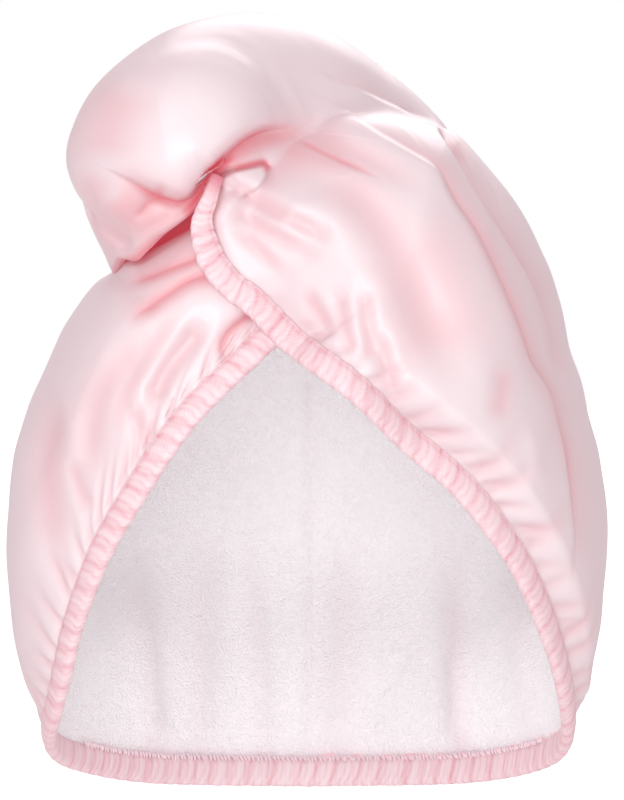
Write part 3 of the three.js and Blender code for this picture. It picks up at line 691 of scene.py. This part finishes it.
def casing_lines():
    feet, split = casing_run()
    side = np.concatenate([np.ones(split), np.zeros(len(feet) - split)])
    run = run_of(feet)
    steps = np.arange(0, run[-1], CASING_STEP)
    foot = read_at(steps, run, feet)
    kernel = np.hanning(2 * FOOT_SMOOTHING + 1)
    kernel /= kernel.sum()
    padded = np.concatenate([np.repeat(foot[:1], FOOT_SMOOTHING, 0), foot,
                             np.repeat(foot[-1:], FOOT_SMOOTHING, 0)])
    foot = np.stack([np.convolve(padded[:, k], kernel, "valid") for k in range(3)], 1)
    on_right = np.interp(steps, run, side) > 0.5
    tangent = unit(np.gradient(foot, axis=0))
    radial = unit(foot)
    upward = unit(np.cross(radial, tangent))
    ahead = unit(radial + upward * CASING_WIDTH / HALF_WIDTH)
    level = np.where(on_right, right_base(ahead), base_reach(ahead)) - CASING_THICKNESS / 2
    inward = ahead * level[:, None] - foot * ((np.linalg.norm(foot, axis=1) - CASING_THICKNESS / 2)
                                              / np.linalg.norm(foot, axis=1))[:, None]
    inward -= np.sum(inward * tangent, 1, keepdims=True) * tangent
    inward = unit(inward)
    normal = unit(np.cross(tangent, inward))
    normal *= np.sign(np.sum(normal * radial, 1, keepdims=True))
    foot = foot - radial * CASING_THICKNESS / 2
    width = CASING_WIDTH * (0.5 + 0.5 * ease(2, 34, steps))
    return SimpleNamespace(steps=steps, foot=foot + HEAD, tangent=tangent, inward=inward, normal=normal,
                           width=width, on_right=on_right, right_length=run[split - 1])


def gather_marks(length, pitch, seed):
    draw = np.random.default_rng(seed)
    marks = [0.0]
    while marks[-1] < length:
        marks.append(marks[-1] + pitch * draw.uniform(0.72, 1.3))
    return np.array(marks), draw


def gathers_at(steps, pitch, seed):
    """Puffs between drawn-in gathers: 0 in a gather and 1 in the middle of a puff."""
    marks, draw = gather_marks(steps.max() + 2 * pitch, pitch, seed)
    strength = draw.uniform(0.55, 1.0, len(marks))
    index = np.clip(np.searchsorted(marks, steps, side="right") - 1, 0, len(marks) - 2)
    share = (steps - marks[index]) / (marks[index + 1] - marks[index])
    puffed = np.clip(np.sin(np.pi * np.clip(share, 0, 1)), 0, 1) ** 0.6
    level = strength[index] * (1 - share) + strength[index + 1] * share
    return 1 - level * (1 - puffed)


CASING = casing_lines()


def along_casing(across, out):
    """A line along the casing, some way across it from its foot and some way out."""
    return CASING.foot + CASING.inward * np.reshape(across, (-1, 1)) + CASING.normal * out


def build_casing():
    steps, width = CASING.steps, CASING.width
    angle = 2 * math.pi * (np.arange(CASING_RING) + 0.5) / CASING_RING
    cosine, sine = np.cos(angle), np.sin(angle)
    across = np.sign(cosine) * np.abs(cosine) ** 0.72
    through = np.sign(sine) * np.abs(sine) ** 0.8
    # The gathers lean a little across the casing and differ on its two faces.
    shifted = steps[:, None] + 1.3 * across[None, :] + 0.9 * through[None, :]
    main = gathers_at(shifted, GATHER_PITCH, 11)
    minor = gathers_at(shifted + 3.1 + 0.8 * np.sin(3 * angle)[None, :], MINOR_PITCH, 12)
    crimp = gathers_at(shifted + 1.4 + 0.5 * np.sin(2 * angle)[None, :], CRIMP_PITCH, 13)
    puffed = 0.4 * main + 0.36 * minor + 0.24 * crimp
    half_width = width[:, None] / 2 * (0.93 + 0.07 * main) + 0.3 * (minor - 0.6)
    half_thick = (CASING_THICKNESS / 2) * (0.72 + 0.4 * puffed)
    half_thick = half_thick * (width[:, None] / CASING_WIDTH) ** 0.7
    seam = np.exp(-((across[None, :] - 0.62) / 0.09) ** 2) * (through[None, :] > 0)
    half_thick = half_thick - 0.55 * seam
    points = (along_casing(width / 2, 0)[:, None, :]
              + CASING.inward[:, None, :] * (across[None, :] * half_width)[..., None]
              + CASING.normal[:, None, :] * (through[None, :] * half_thick)[..., None])
    shade = np.clip(1.25 * (1 - puffed) ** 1.1, 0, 1) + 0.35 * seam
    shade = np.maximum(shade, np.exp(-(steps / 7.5) ** 2)[:, None])
    return points, shade


# right satin half and rolled tail
MIDDLE = np.array([0.0, 0.0, 150.0])
TWIST = np.array([-32.6, -77.0, 207.5])
NAPE_END = unit(np.array([-8.0, 99.0, -4.0]) - MIDDLE)
FLAT_X = unit(np.cross(NAPE_END, np.array([0.0, 0.0, 1.0])))
FLAT_Y = np.cross(NAPE_END, FLAT_X)
LEAST_FAR = 0.002


def flattened(way):
    """Directions laid out flat, with the twist at nought and the nape's end infinitely far away."""
    return (way @ FLAT_X + 1j * (way @ FLAT_Y)) / (1 - way @ NAPE_END)


TWIST_FLAT = flattened(unit(TWIST - MIDDLE))

# Lower left border of the roll and tail, from the twist over the left half to the nape
TWIST_BORDER = [(-32.5, -74, 203), (-33.8, -72, 198), (-36.5, -71, 193.5), (-41.5, -69.5, 189.8),
                (-48, -66, 186.2), (-57, -57, 181.6), (-62.5, -47, 178.6), (-65, -37, 177.4)]
BORDER_TURNS = (-77, -176)
BORDER_OVERLAP = 3.0


def round_pole(points):
    """Logarithm of how far points are from the twist on the flat layout, and their angle round it."""
    flat = flattened(unit(points - MIDDLE)) - TWIST_FLAT
    return np.stack([np.log(np.maximum(np.abs(flat), LEAST_FAR)), np.unwrap(np.angle(flat))], 1)


def from_pole(far, angle):
    flat = TWIST_FLAT + np.exp(far + 1j * angle)
    size = np.abs(flat) ** 2
    across = flat.real[..., None] * FLAT_X + flat.imag[..., None] * FLAT_Y
    return (2 * across + (size - 1)[..., None] * NAPE_END) / (size + 1)[..., None]


# The roll sags here on to the left half: middle and half width of what hangs below its line
UNDER_ROLL = np.array([(-51, -27, 203, 24), (-50, -25, 196, 22), (-49, -23, 190, 21)], float)


BALL_BLEND = 1.6


def roll_balls():
    spine = catmull(ROLL, np.linspace(0, len(ROLL) - 1, 61))
    ahead = unit(np.gradient(spine[:, :3], axis=0))
    above = spine[:, :3] - HEAD
    above = unit(above - np.sum(above * ahead, 1, keepdims=True) * ahead)
    across = np.cross(ahead, above)
    centres, sizes = [], []
    for share in (-1, -0.5, 0, 0.5, 1):
        size = np.minimum(spine[:, 4], spine[:, 3])
        centres.append(spine[:, :3] + across * ((spine[:, 3] - size) * share)[:, None])
        sizes.append(size * (1 - 0.12 * abs(share)))
    return np.concatenate(centres + [UNDER_ROLL[:, :3]]), np.concatenate(sizes + [UNDER_ROLL[:, 3]])


def roll_reach(way):
    """Reach of the roll from the middle point, as a soft union of balls along its middle line."""
    centres, sizes = roll_balls()
    flat = way.reshape(-1, 3)
    total = np.zeros(len(flat))
    for centre, size in zip(centres - MIDDLE, sizes):
        along = flat @ centre
        room = along ** 2 - centre @ centre + size ** 2
        reach = along + np.sign(room) * np.sqrt(np.abs(room))
        reach = np.where(along > 0, reach, -50)
        total += np.exp(np.clip(reach / BALL_BLEND, -60, 200))
    return (BALL_BLEND * np.log(np.maximum(total, 1e-20))).reshape(way.shape[:-1])


FURTHEST, REACH_HALVINGS = 260.0, 16


def reach_from_middle(way, reach_of):
    """Distance from the middle point to a form that is given by its reach from the head's centre."""
    low, high = np.zeros(way.shape[:-1]), np.full(way.shape[:-1], FURTHEST)
    shift = MIDDLE - HEAD
    for _ in range(REACH_HALVINGS):
        middle = (low + high) / 2
        spot = shift + way * middle[..., None]
        inside = np.linalg.norm(spot, axis=-1) < reach_of(unit(spot))
        low, high = np.where(inside, middle, low), np.where(inside, high, middle)
    return (low + high) / 2


def roll_border():
    """Where the roll and tail come down to the left half, from its front left to the nape."""
    turns = np.linspace(*BORDER_TURNS, 43)
    tilts = np.linspace(60, -62, 245)
    way = turned(turns[:, None], tilts[None, :])
    gap = roll_reach(way) - reach_from_middle(way, left_reach)
    first = np.argmax(gap < 0, axis=1)
    row = np.arange(len(turns))
    high, low = gap[row, first - 1], gap[row, first]
    tilt = tilts[first - 1] + (tilts[first] - tilts[first - 1]) * high / np.maximum(high - low, 1e-6)
    way = turned(turns, tilt - BORDER_OVERLAP)
    return MIDDLE + way * reach_from_middle(way, left_reach)[:, None]


# How far the satin goes under the casing, how far off its middle it lies there, and the bare start
SATIN_TUCK, SATIN_LIFT, TWIST_GAP = 1.6, 0.2, 2.5
MAIN_COARSE = (110, 130)
NAPE_SWEEP = math.radians(-121)
MAIN_FINE = (410, 466)
# How softly the satin passes from the roll to the head, and how often it is smoothed after that
DRAPE, SMOOTHINGS = 5.0, 3
# Rows lie closer by the twist; near its two long edges, within these distances, the satin is drawn down.
ROW_SPREAD, FIRST_PULL, SECOND_PULL = 1.18, 16, 14
TAIL_SHARE = 0.48


def outer_reach(way):
    """What the right half lies on at the front right and what carries the tail elsewhere."""
    beside = ease(-0.36, -0.2, way[..., 0])
    left, right = left_reach(way), right_reach(way)
    return left + (np.maximum(left, right) - left) * beside


def build_main():
    edge = along_casing(CASING.width - SATIN_TUCK, SATIN_LIFT)
    kept = (CASING.steps <= CASING.right_length) & (CASING.steps > TWIST_GAP)
    edge = np.concatenate([TWIST[None], edge[kept]])
    sides = roll_border()
    border = smooth_path(np.concatenate([TWIST[None], TWIST_BORDER, sides[::3]]), 240)
    rows, columns = MAIN_COARSE
    share = np.linspace(0, 1, rows) ** ROW_SPREAD
    first = round_pole(edge[1:])
    first = np.concatenate([[[math.log(LEAST_FAR), first[0, 1]]], first])
    second = round_pole(border[1:])
    second = np.concatenate([[[math.log(LEAST_FAR), second[0, 1]]], second])
    first, second = even_path_with(first, edge, share), even_path_with(second, border, share)
    turns = np.round((first[-1, 1] + NAPE_SWEEP - second[-1, 1]) / (2 * math.pi))
    second[:, 1] += 2 * math.pi * turns
    across = np.linspace(0, 1, columns)[None, :]
    far = first[:, None, 0] + (second[:, None, 0] - first[:, None, 0]) * across
    angle = first[:, None, 1] + (second[:, None, 1] - first[:, None, 1]) * across
    way = from_pole(far, angle)
    shell = reach_from_middle(way, outer_reach)
    roll = roll_reach(way)
    top = np.maximum(shell, roll)
    reach = top + DRAPE * np.log(np.exp((shell - top) / DRAPE) + np.exp((roll - top) / DRAPE))
    for _ in range(SMOOTHINGS):
        reach[1:-1] = (reach[:-2] + 2 * reach[1:-1] + reach[2:]) / 4
        reach[:, 1:-1] = (reach[:, :-2] + 2 * reach[:, 1:-1] + reach[:, 2:]) / 4
    # At its two long edges the satin comes down to the casing and to the left half.
    first_reach = np.linalg.norm(even_path_with(edge, edge, share) - MIDDLE, axis=1)[:, None]
    second_reach = np.linalg.norm(even_path_with(border, border, share) - MIDDLE, axis=1)[:, None]
    on_left = reach_from_middle(way[:, -1:], left_reach) + 1.5
    second_reach = second_reach + (on_left - second_reach) * ease(0.12, 0.25, share)[:, None]
    from_first = way_across(way * reach[..., None])
    from_second = from_first[:, -1:] - from_first
    pull_first = 1 - ease(0, FIRST_PULL, from_first)
    pull_second = 1 - ease(0, SECOND_PULL, from_second)
    both = np.maximum(pull_first + pull_second, 1)
    reach = (reach + (first_reach - reach[:, :1]) * pull_first / both
             + (second_reach - reach[:, -1:]) * pull_second / both)
    base = MIDDLE + way * reach[..., None]
    return resized(base, *MAIN_FINE)


def rim_gathers(base, seed, start, pitch=9.0, depth=1.5):
    """Small folds that run from the casing into the satin. Columns of base start at the casing."""
    way = way_across(base)
    foot = base[:, 0]
    run = run_of(foot)
    marks, draw = gather_marks(run[-1], pitch, seed)
    total = np.zeros(way.shape)
    near = 1 - ease(26, 80, way)
    for mark in marks[marks > start]:
        index = min(np.searchsorted(run, mark), len(run) - 1)
        behind = ease(-40, 60, foot[index, 1])
        reach, lean = draw.uniform(9, 22) * (1 + 1.4 * behind), draw.uniform(-0.35, 0.35)
        deep, spread = depth * draw.uniform(0.5, 1.25) * (1 + 0.5 * behind), draw.uniform(1.4, 2.6)
        off = run[:, None] - mark - lean * way
        shape = np.exp(-(off / (spread + 0.1 * way)) ** 2) * np.exp(-(way / reach) ** 2)
        total -= deep * shape * near
    return np.maximum(total * ease(0.0, 3.0, way), -0.4 - 0.17 * way), way


# Long folds of the roll and tail: place across it from its left border, depth, width in millimetres,
# share of the length where it starts and where it ends, and how far it wanders
TAIL_FOLDS = [
    (14, 1.6, 3.2, 0.34, 0.93, 3), (26, 2.0, 4.0, 0.30, 0.78, 5), (41, 1.7, 4.5, 0.36, 0.86, 6),
    (57, 2.2, 5.0, 0.26, 0.74, 6), (72, 1.5, 4.0, 0.34, 0.66, 5), (90, 2.0, 6.0, 0.3, 0.8, 8),
    (112, 1.8, 7.0, 0.36, 0.9, 9)]


def tail_folds(base, back_way):
    share = np.linspace(0, 1, base.shape[0])[:, None]
    behind = ease(-30, 15, base[..., 1])
    total, shade = np.zeros(base.shape[:2]), np.zeros(base.shape[:2])
    for number, (place_across, depth, width, start, end, wander) in enumerate(TAIL_FOLDS):
        narrowing = 1 - 0.45 * ease(0.5, 0.95, share)
        line = (place_across + wander * np.sin(5.2 * share * math.pi / 2 + number)) * narrowing
        length = ease(start, start + 0.12, share) * ease(0, 0.14, end - share)
        shape = np.exp(-((back_way - line) / (width * narrowing)) ** 2) * length * behind
        total -= depth * shape
        shade = np.maximum(shade, 0.22 * shape)
    return total, shade


def front_share(points, normals):
    return ease(-22, 32, -points[..., 1]) * ease(-0.1, 0.16, -normals[..., 1])


def raised(base, normals, rise, rise_front):
    """Base moved out by its folds: those drawn in the front view go straight towards the eye."""
    facing = ease(0.15, 0.6, -normals[..., 1])[..., None]
    towards = unit(normals * (1 - facing) + np.array([0.0, -1.0, 0.0]) * facing)
    return base + normals * rise[..., None] + towards * rise_front[..., None]


def outward_normals(points, middle):
    normals = grid_normals(points)
    return normals * np.sign(np.sum(normals * (points - middle), -1).mean())


EDGE_DIP, EDGE_DIP_WIDTH = 0.9, 3.0
GATHER_SHADE = 0.16
UNEVENNESS, UNEVEN_SIZE = 0.35, 46
TURN_IN, TURN_IN_WIDTH = 3.6, 4.0


def folded(base, middle, folds, gather_seed, first_gather, uneven_seed):
    """Outward normals, rise along them, rise towards the eye and shade of one satin half."""
    normals = outward_normals(base, middle)
    drawn, shade = relief(seen(base).reshape(-1, 2), folds)
    front = front_share(base, normals)
    drawn, shade = drawn.reshape(front.shape) * front, shade.reshape(front.shape) * front
    rise, way = rim_gathers(base, gather_seed, first_gather)
    shade = np.maximum(shade, np.clip(-rise * GATHER_SHADE, 0, 0.5))
    # The satin goes down under the casing at the opening.
    rise = rise - EDGE_DIP * np.exp(-(way / EDGE_DIP_WIDTH) ** 2)
    rise += UNEVENNESS * wave_field(base, uneven_seed, UNEVEN_SIZE) * ease(2, 25, way)
    return normals, rise, drawn, shade


base_main = build_main()
normals, rise, drawn, shade = folded(base_main, MIDDLE, LIP_FOLDS + RIGHT_FOLDS + ROLL_FOLDS,
                                     gather_seed=21, first_gather=62, uneven_seed=5)
# Along the roll's border the satin is turned in.
from_border = way_across(base_main[:, ::-1])[:, ::-1]
turn_in = np.clip(1 - from_border / TURN_IN_WIDTH, 0, 1)
fold, fold_shade = tail_folds(base_main, from_border)
rise += fold - TURN_IN * (1 - np.sqrt(1 - turn_in ** 2))
shade = np.maximum(shade, np.maximum(0.75 * turn_in ** 1.5, fold_shade))
main = raised(base_main, normals, rise, drawn)


# left satin half
CREST = np.array([(0, 133), (0.2, 108), (0.4, 76), (0.62, 36), (0.85, -8), (1, -32)])
LEFT_FINE = (420, 230)
LEFT_COARSE = (110, 60)


def swing(start, end, share):
    angle = np.arccos(np.clip(np.sum(start * end, -1, keepdims=True), -1, 1))
    return unit((np.sin((1 - share) * angle) * start + np.sin(share * angle) * end) / np.sin(angle))


def crest_at(share, x):
    """Directions along the top of the head, from the front to the nape, at shares of its edge."""
    arc = np.radians(catmull(CREST[:, 1], np.interp(share, CREST[:, 0], np.arange(len(CREST)))))
    return np.stack([x, np.cos(arc), np.sin(arc)], 1)


def build_left():
    edge = along_casing(CASING.width - SATIN_TUCK, SATIN_LIFT)[~CASING.on_right][::-1]
    rows, columns = LEFT_COARSE
    share = np.linspace(0, 1, rows) ** 1.1
    edge = even_path_with(edge, edge, share)
    start = unit(edge - HEAD)
    crest = crest_at(share, -0.004 + 0.1 * ease(0.4, 0.85, share))
    across = (np.linspace(0, 1, columns) ** 1.15)[None, :, None]
    way = swing(start[:, None, :], unit(crest)[:, None, :], across)
    reach = left_reach(way) - 1.6 * ease(-0.04, 0.03, way[..., 0])
    return resized(HEAD + way * reach[..., None], *LEFT_FINE)


base_left = build_left()
normals, rise, drawn, shade_left = folded(base_left, HEAD, LEFT_FOLDS,
                                          gather_seed=33, first_gather=14, uneven_seed=6)
left = raised(base_left, normals, rise, drawn)

FIT = fitted_outline([main, left])

# terry lining
LINING_FINE = (230, 150)
TERRY_ACROSS, TERRY_BELOW = 9.4, 1.6


def build_lining(on_right_half):
    edge = along_casing(TERRY_ACROSS, -TERRY_BELOW)
    edge = edge[CASING.on_right] if on_right_half else edge[~CASING.on_right][::-1]
    edge = edge[edge[:, 0] > 0] if on_right_half else edge[edge[:, 0] < 0]
    rows, columns = LINING_FINE
    share = np.linspace(0, 1, rows)
    edge = even_path_with(edge, edge, share)
    edge[0, 0] = 0
    edge[-1, 0] = 0
    start = unit(edge - HEAD)
    crest = crest_at(share, np.zeros(rows))
    way = swing(start[:, None, :], crest[:, None, :], np.linspace(0, 1, columns)[None, :, None])
    points = HEAD + way * (lining_reach(way) + 0.4)[..., None]
    # Slack folds hang in the lower back of the lining, and the centre seam draws it in.
    x, y, z = points[..., 0], points[..., 1], points[..., 2]
    low = ease(0, 45, 95 - z) * ease(10, 60, y)
    slack = np.zeros_like(x)
    for middle, spread, depth, lean in ((-60, 5, 3.2, 0.10), (-34, 6, 2.6, -0.05), (-21, 4, 2.0, 0.08),
                                        (14, 6, 2.4, -0.06), (47, 5, 3.4, 0.06), (53, 3, 1.4, -0.02),
                                        (68, 5, 3.0, 0.1)):
        slack += depth * np.exp(-((x - middle - lean * (95 - z)) / spread) ** 2)
    inner_edge = np.linalg.norm(points - points[:, :1], axis=-1)
    points -= way * (slack * low * ease(1, 13, inner_edge))[..., None]
    points -= way * (1.2 * np.exp(-(x / 1.6) ** 2) * ease(0, 40, y))[..., None]
    points -= way * (0.45 * wave_field(points, 9, 30))[..., None]
    inner_edge = np.linalg.norm(points - points[:, :1], axis=-1)
    points += way * (1.8 * np.exp(-(inner_edge / 3) ** 2))[..., None]
    shade = (0.1 * slack * low + 0.25 * np.exp(-(inner_edge / 5) ** 2)
             + 0.1 * np.exp(-(x / 0.9) ** 2) * ease(0, 40, y))
    return points, shade


# pieces
casing_points, casing_shade = build_casing()
casing_points = stretched(casing_points, FIT)
main, left = stretched(main, FIT), stretched(left, FIT)

split = int(main.shape[1] * TAIL_SHARE)
main_normals = outward_normals(main, MIDDLE)


def grid_piece(name, points, material, shade, out, normals=None):
    """A grid of points as a sheet that faces away from the given point."""
    rows, columns = points.shape[:2]
    faces = quads(rows, columns)
    a, b, c = (points.reshape(-1, 3)[faces[:, k]] for k in (0, 1, 2))
    facing = np.sum(np.cross(b - a, c - a) * ((a + c) / 2 - out), 1).sum()
    if facing < 0:
        faces = faces[:, ::-1]
    return cloth_object(name, points, faces, material, {"fold_shade": np.clip(shade, 0, 1)}, normals)


satin_right = grid_piece("satin_right", main[:, :split + 1], SATIN, shade[:, :split + 1], MIDDLE,
                         main_normals[:, :split + 1])
satin_tail = grid_piece("satin_tail", main[:, split:], SATIN, shade[:, split:], MIDDLE,
                        main_normals[:, split:])
satin_left = grid_piece("satin_left", left, SATIN, shade_left, HEAD)
terry = {}
for half, name in ((True, "terry_right"), (False, "terry_left")):
    points, lining_shade = build_lining(half)
    points = stretched(points, FIT)
    terry[name] = grid_piece(name, points, TERRY, lining_shade, HEAD)
casing_faces = quads(*casing_points.shape[:2], closed=True)
casing = cloth_object("edge_casing", casing_points, casing_faces[:, ::-1], BAND,
                      {"fold_shade": np.clip(casing_shade, 0, 1)})


# stitches on the nape's inner edge
STITCH_STEP, STITCH_LENGTH, STITCH_WIDTH = 1.5, 2.4, 0.42
STITCH_ACROSS, STITCHED_BEFORE, STITCHED_AFTER = 9.3, 108, 100


def build_stitches():
    """Slanted loops of thread over the edge of the lining, round the back of the opening."""
    draw = np.random.default_rng(41)
    marks = np.arange(CASING.right_length - STITCHED_BEFORE, CASING.right_length + STITCHED_AFTER,
                      STITCH_STEP)
    marks = marks + draw.uniform(-0.35, 0.35, len(marks))
    points, faces = [], []
    ring = np.linspace(0, 2 * math.pi, 6, endpoint=False)
    along = np.linspace(-1, 1, 5)
    for mark in marks:
        foot, tangent, inward, normal = (
            np.array([np.interp(mark, CASING.steps, rows[:, k]) for k in range(3)])
            for rows in (CASING.foot, CASING.tangent, CASING.inward, CASING.normal))
        middle = foot + inward * STITCH_ACROSS - normal * (CASING_THICKNESS / 2 + 0.2)
        lean = unit(inward + tangent * draw.uniform(0.2, 0.9))
        side = np.cross(lean, normal)
        start = len(points) * len(along) * len(ring)
        bow = (1 - along ** 2) * 0.5 - 0.35
        size = STITCH_WIDTH * (1 - 0.55 * along ** 4)
        line = middle + lean * (along * STITCH_LENGTH / 2)[:, None] - normal * bow[:, None]
        points.append(line[:, None, :] + size[:, None, None] * (
            side * np.cos(ring)[None, :, None] + normal * np.sin(ring)[None, :, None]))
        faces.append(quads(len(along), len(ring), closed=True) + start)
    return np.concatenate([p.reshape(-1, 3) for p in points]), np.concatenate(faces)


stitch_points, stitch_faces = build_stitches()
stitches = cloth_object("nape_stitches", stretched(stitch_points, FIT), stitch_faces, THREAD,
                        {"fold_shade": np.zeros(len(stitch_points))})


# button
BUTTON_GRID = (26, 64)
BUTTON_RADIUS = 11


def build_button():
    low, high = (np.array(v) * 1000 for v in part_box("tail_button"))
    centre = (low + high) / 2 + np.array([0, 0, SEAT])
    size = (high - low)[0] / 2
    tilt = -math.atan2((high - low)[1] / 2 - 2.2, size)
    profile = [(0, 2.0), (3, 2.0), (5.5, 1.6), (7.2, 2.3), (9.2, 2.9), (10.4, 2.3), (11, 0.8),
               (11, -1.0), (10.2, -2.2), (8, -2.4)]
    profile = smooth_path(profile, BUTTON_GRID[0])
    turns = np.linspace(0, 2 * math.pi, BUTTON_GRID[1], endpoint=False)
    radius = profile[:, 0] * size / BUTTON_RADIUS
    ring = np.stack([radius[:, None] * np.cos(turns), np.broadcast_to(profile[:, 1:2], BUTTON_GRID),
                     radius[:, None] * np.sin(turns)], -1)
    y = ring[..., 1] * math.cos(tilt) - ring[..., 2] * math.sin(tilt)
    z = ring[..., 1] * math.sin(tilt) + ring[..., 2] * math.cos(tilt)
    return np.stack([ring[..., 0], y, z], -1) + centre


button_points = build_button()
button = cloth_object("tail_button_face", button_points, quads(*BUTTON_GRID, closed=True), BUTTON,
                      {"fold_shade": np.zeros(BUTTON_GRID)})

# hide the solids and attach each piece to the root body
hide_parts("shell_right")
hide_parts("shell_left")
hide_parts("tail_roll")
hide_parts("lining_right")
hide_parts("lining_left")
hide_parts("elastic_casing")
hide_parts("elastic_casing")
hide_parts("tail_button")
for piece, slot in ((satin_right, "satin"), (satin_left, "satin"), (satin_tail, "satin"),
                    (terry["terry_right"], "terry"), (terry["terry_left"], "terry"), (casing, "band"),
                    (stitches, "band"), (button, "button")):
    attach(piece, "root")

# floor, light, camera
FLOOR_SIZE, FLOOR_LEVEL, FLOOR_GLOW = 900, -0.45, 0.7
floor_mesh = bpy.data.meshes.new("floor")
floor_mesh.from_pydata([(x * FLOOR_SIZE, y * FLOOR_SIZE, FLOOR_LEVEL)
                        for x, y in ((-1, -1), (1, -1), (1, 1), (-1, 1))], [], [(0, 1, 2, 3)])
floor = bpy.data.objects.new("floor", floor_mesh)
bpy.context.scene.collection.objects.link(floor)
pale = bpy.data.materials.new("floor_pale")
pale.use_nodes = True
coat = pale.node_tree
glow = math_node(coat, "MULTIPLY", add_node(coat, "LightPath").outputs["Is Camera Ray"], FLOOR_GLOW)
put(coat, coat.nodes["Principled BSDF"],
    {"Base Color": (0.9, 0.9, 0.9, 1), "Roughness": 1.0, "Specular IOR Level": 0.0,
     "Emission Color": (1, 1, 1, 1), "Emission Strength": glow})
floor.data.materials.append(pale)

scene = bpy.context.scene
world = bpy.data.worlds.new("studio")
scene.world = world
world.use_nodes = True
sky = world.node_tree
to_eye = add_node(sky, "LightPath").outputs["Is Camera Ray"]
heading = add_node(sky, "SeparateXYZ", {"Vector": add_node(sky, "TexCoord").outputs["Generated"]})
# The sky's light grows from below upwards, while the eye sees it plain white.
rising = add_node(sky, "MapRange", {"From Min": -1.0, "To Min": 0.42, "To Max": 0.8,
                                    "Value": heading.outputs["Z"]})
level = add_node(sky, "MapRange", {"To Min": rising.outputs["Result"], "To Max": 1.0, "Value": to_eye})
put(sky, sky.nodes["Background"],
    {"Color": colour_mix(sky, to_eye, (1, 0.94, 0.955, 1), (1, 1, 1, 1)),
     "Strength": level.outputs["Result"]})


def soft_light(name, spot, aim, size, power):
    lamp = bpy.data.lights.new(name, "AREA")
    lamp.shape = "DISK"
    lamp.size = size
    lamp.energy = power
    obj = bpy.data.objects.new(name, lamp)
    scene.collection.objects.link(obj)
    obj.location = spot
    heading = np.array(aim, float) - np.array(spot, float)
    yaw = math.atan2(heading[1], heading[0]) - math.pi / 2
    pitch = math.atan2(heading[2], math.hypot(heading[0], heading[1]))
    obj.rotation_euler = (math.pi / 2 + pitch, 0, yaw)


# name, place, aim, width in metres and power in watts
for lamp_row in (("key_upper_left", (-1.1, -1.6, 1.2), (0, 0, -0.05), 0.8, 8),
                 ("front", (-0.2, -2.6, 0.05), (0, 0, -0.09), 0.9, 14.5),
                 ("low_front", (0.05, -1.3, -0.36), (0, 0.05, -0.12), 0.6, 3.3),
                 ("fill_right", (1.8, -1.3, 0.1), (0, 0, -0.05), 1.4, 1),
                 ("back_top", (0.3, 1.8, 1.2), (0, 0, -0.05), 1.4, 14)):
    soft_light(*lamp_row)

scene.view_settings.view_transform = "Standard"
camera_data = bpy.data.cameras.new("camera")
camera_data.sensor_width = 36
camera_data.sensor_fit = "AUTO"
camera_data.lens = 36 * EYE_DISTANCE / (PICTURE[1] / PIXELS_PER_MM)
camera_data.clip_end = 2000
camera = bpy.data.objects.new("camera", camera_data)
camera.location = (EYE[0] / 1000, EYE[1] / 1000, (EYE[2] - SEAT) / 1000)
camera.rotation_euler = (math.pi / 2, 0, 0)
scene.collection.objects.link(camera)
scene.camera = camera
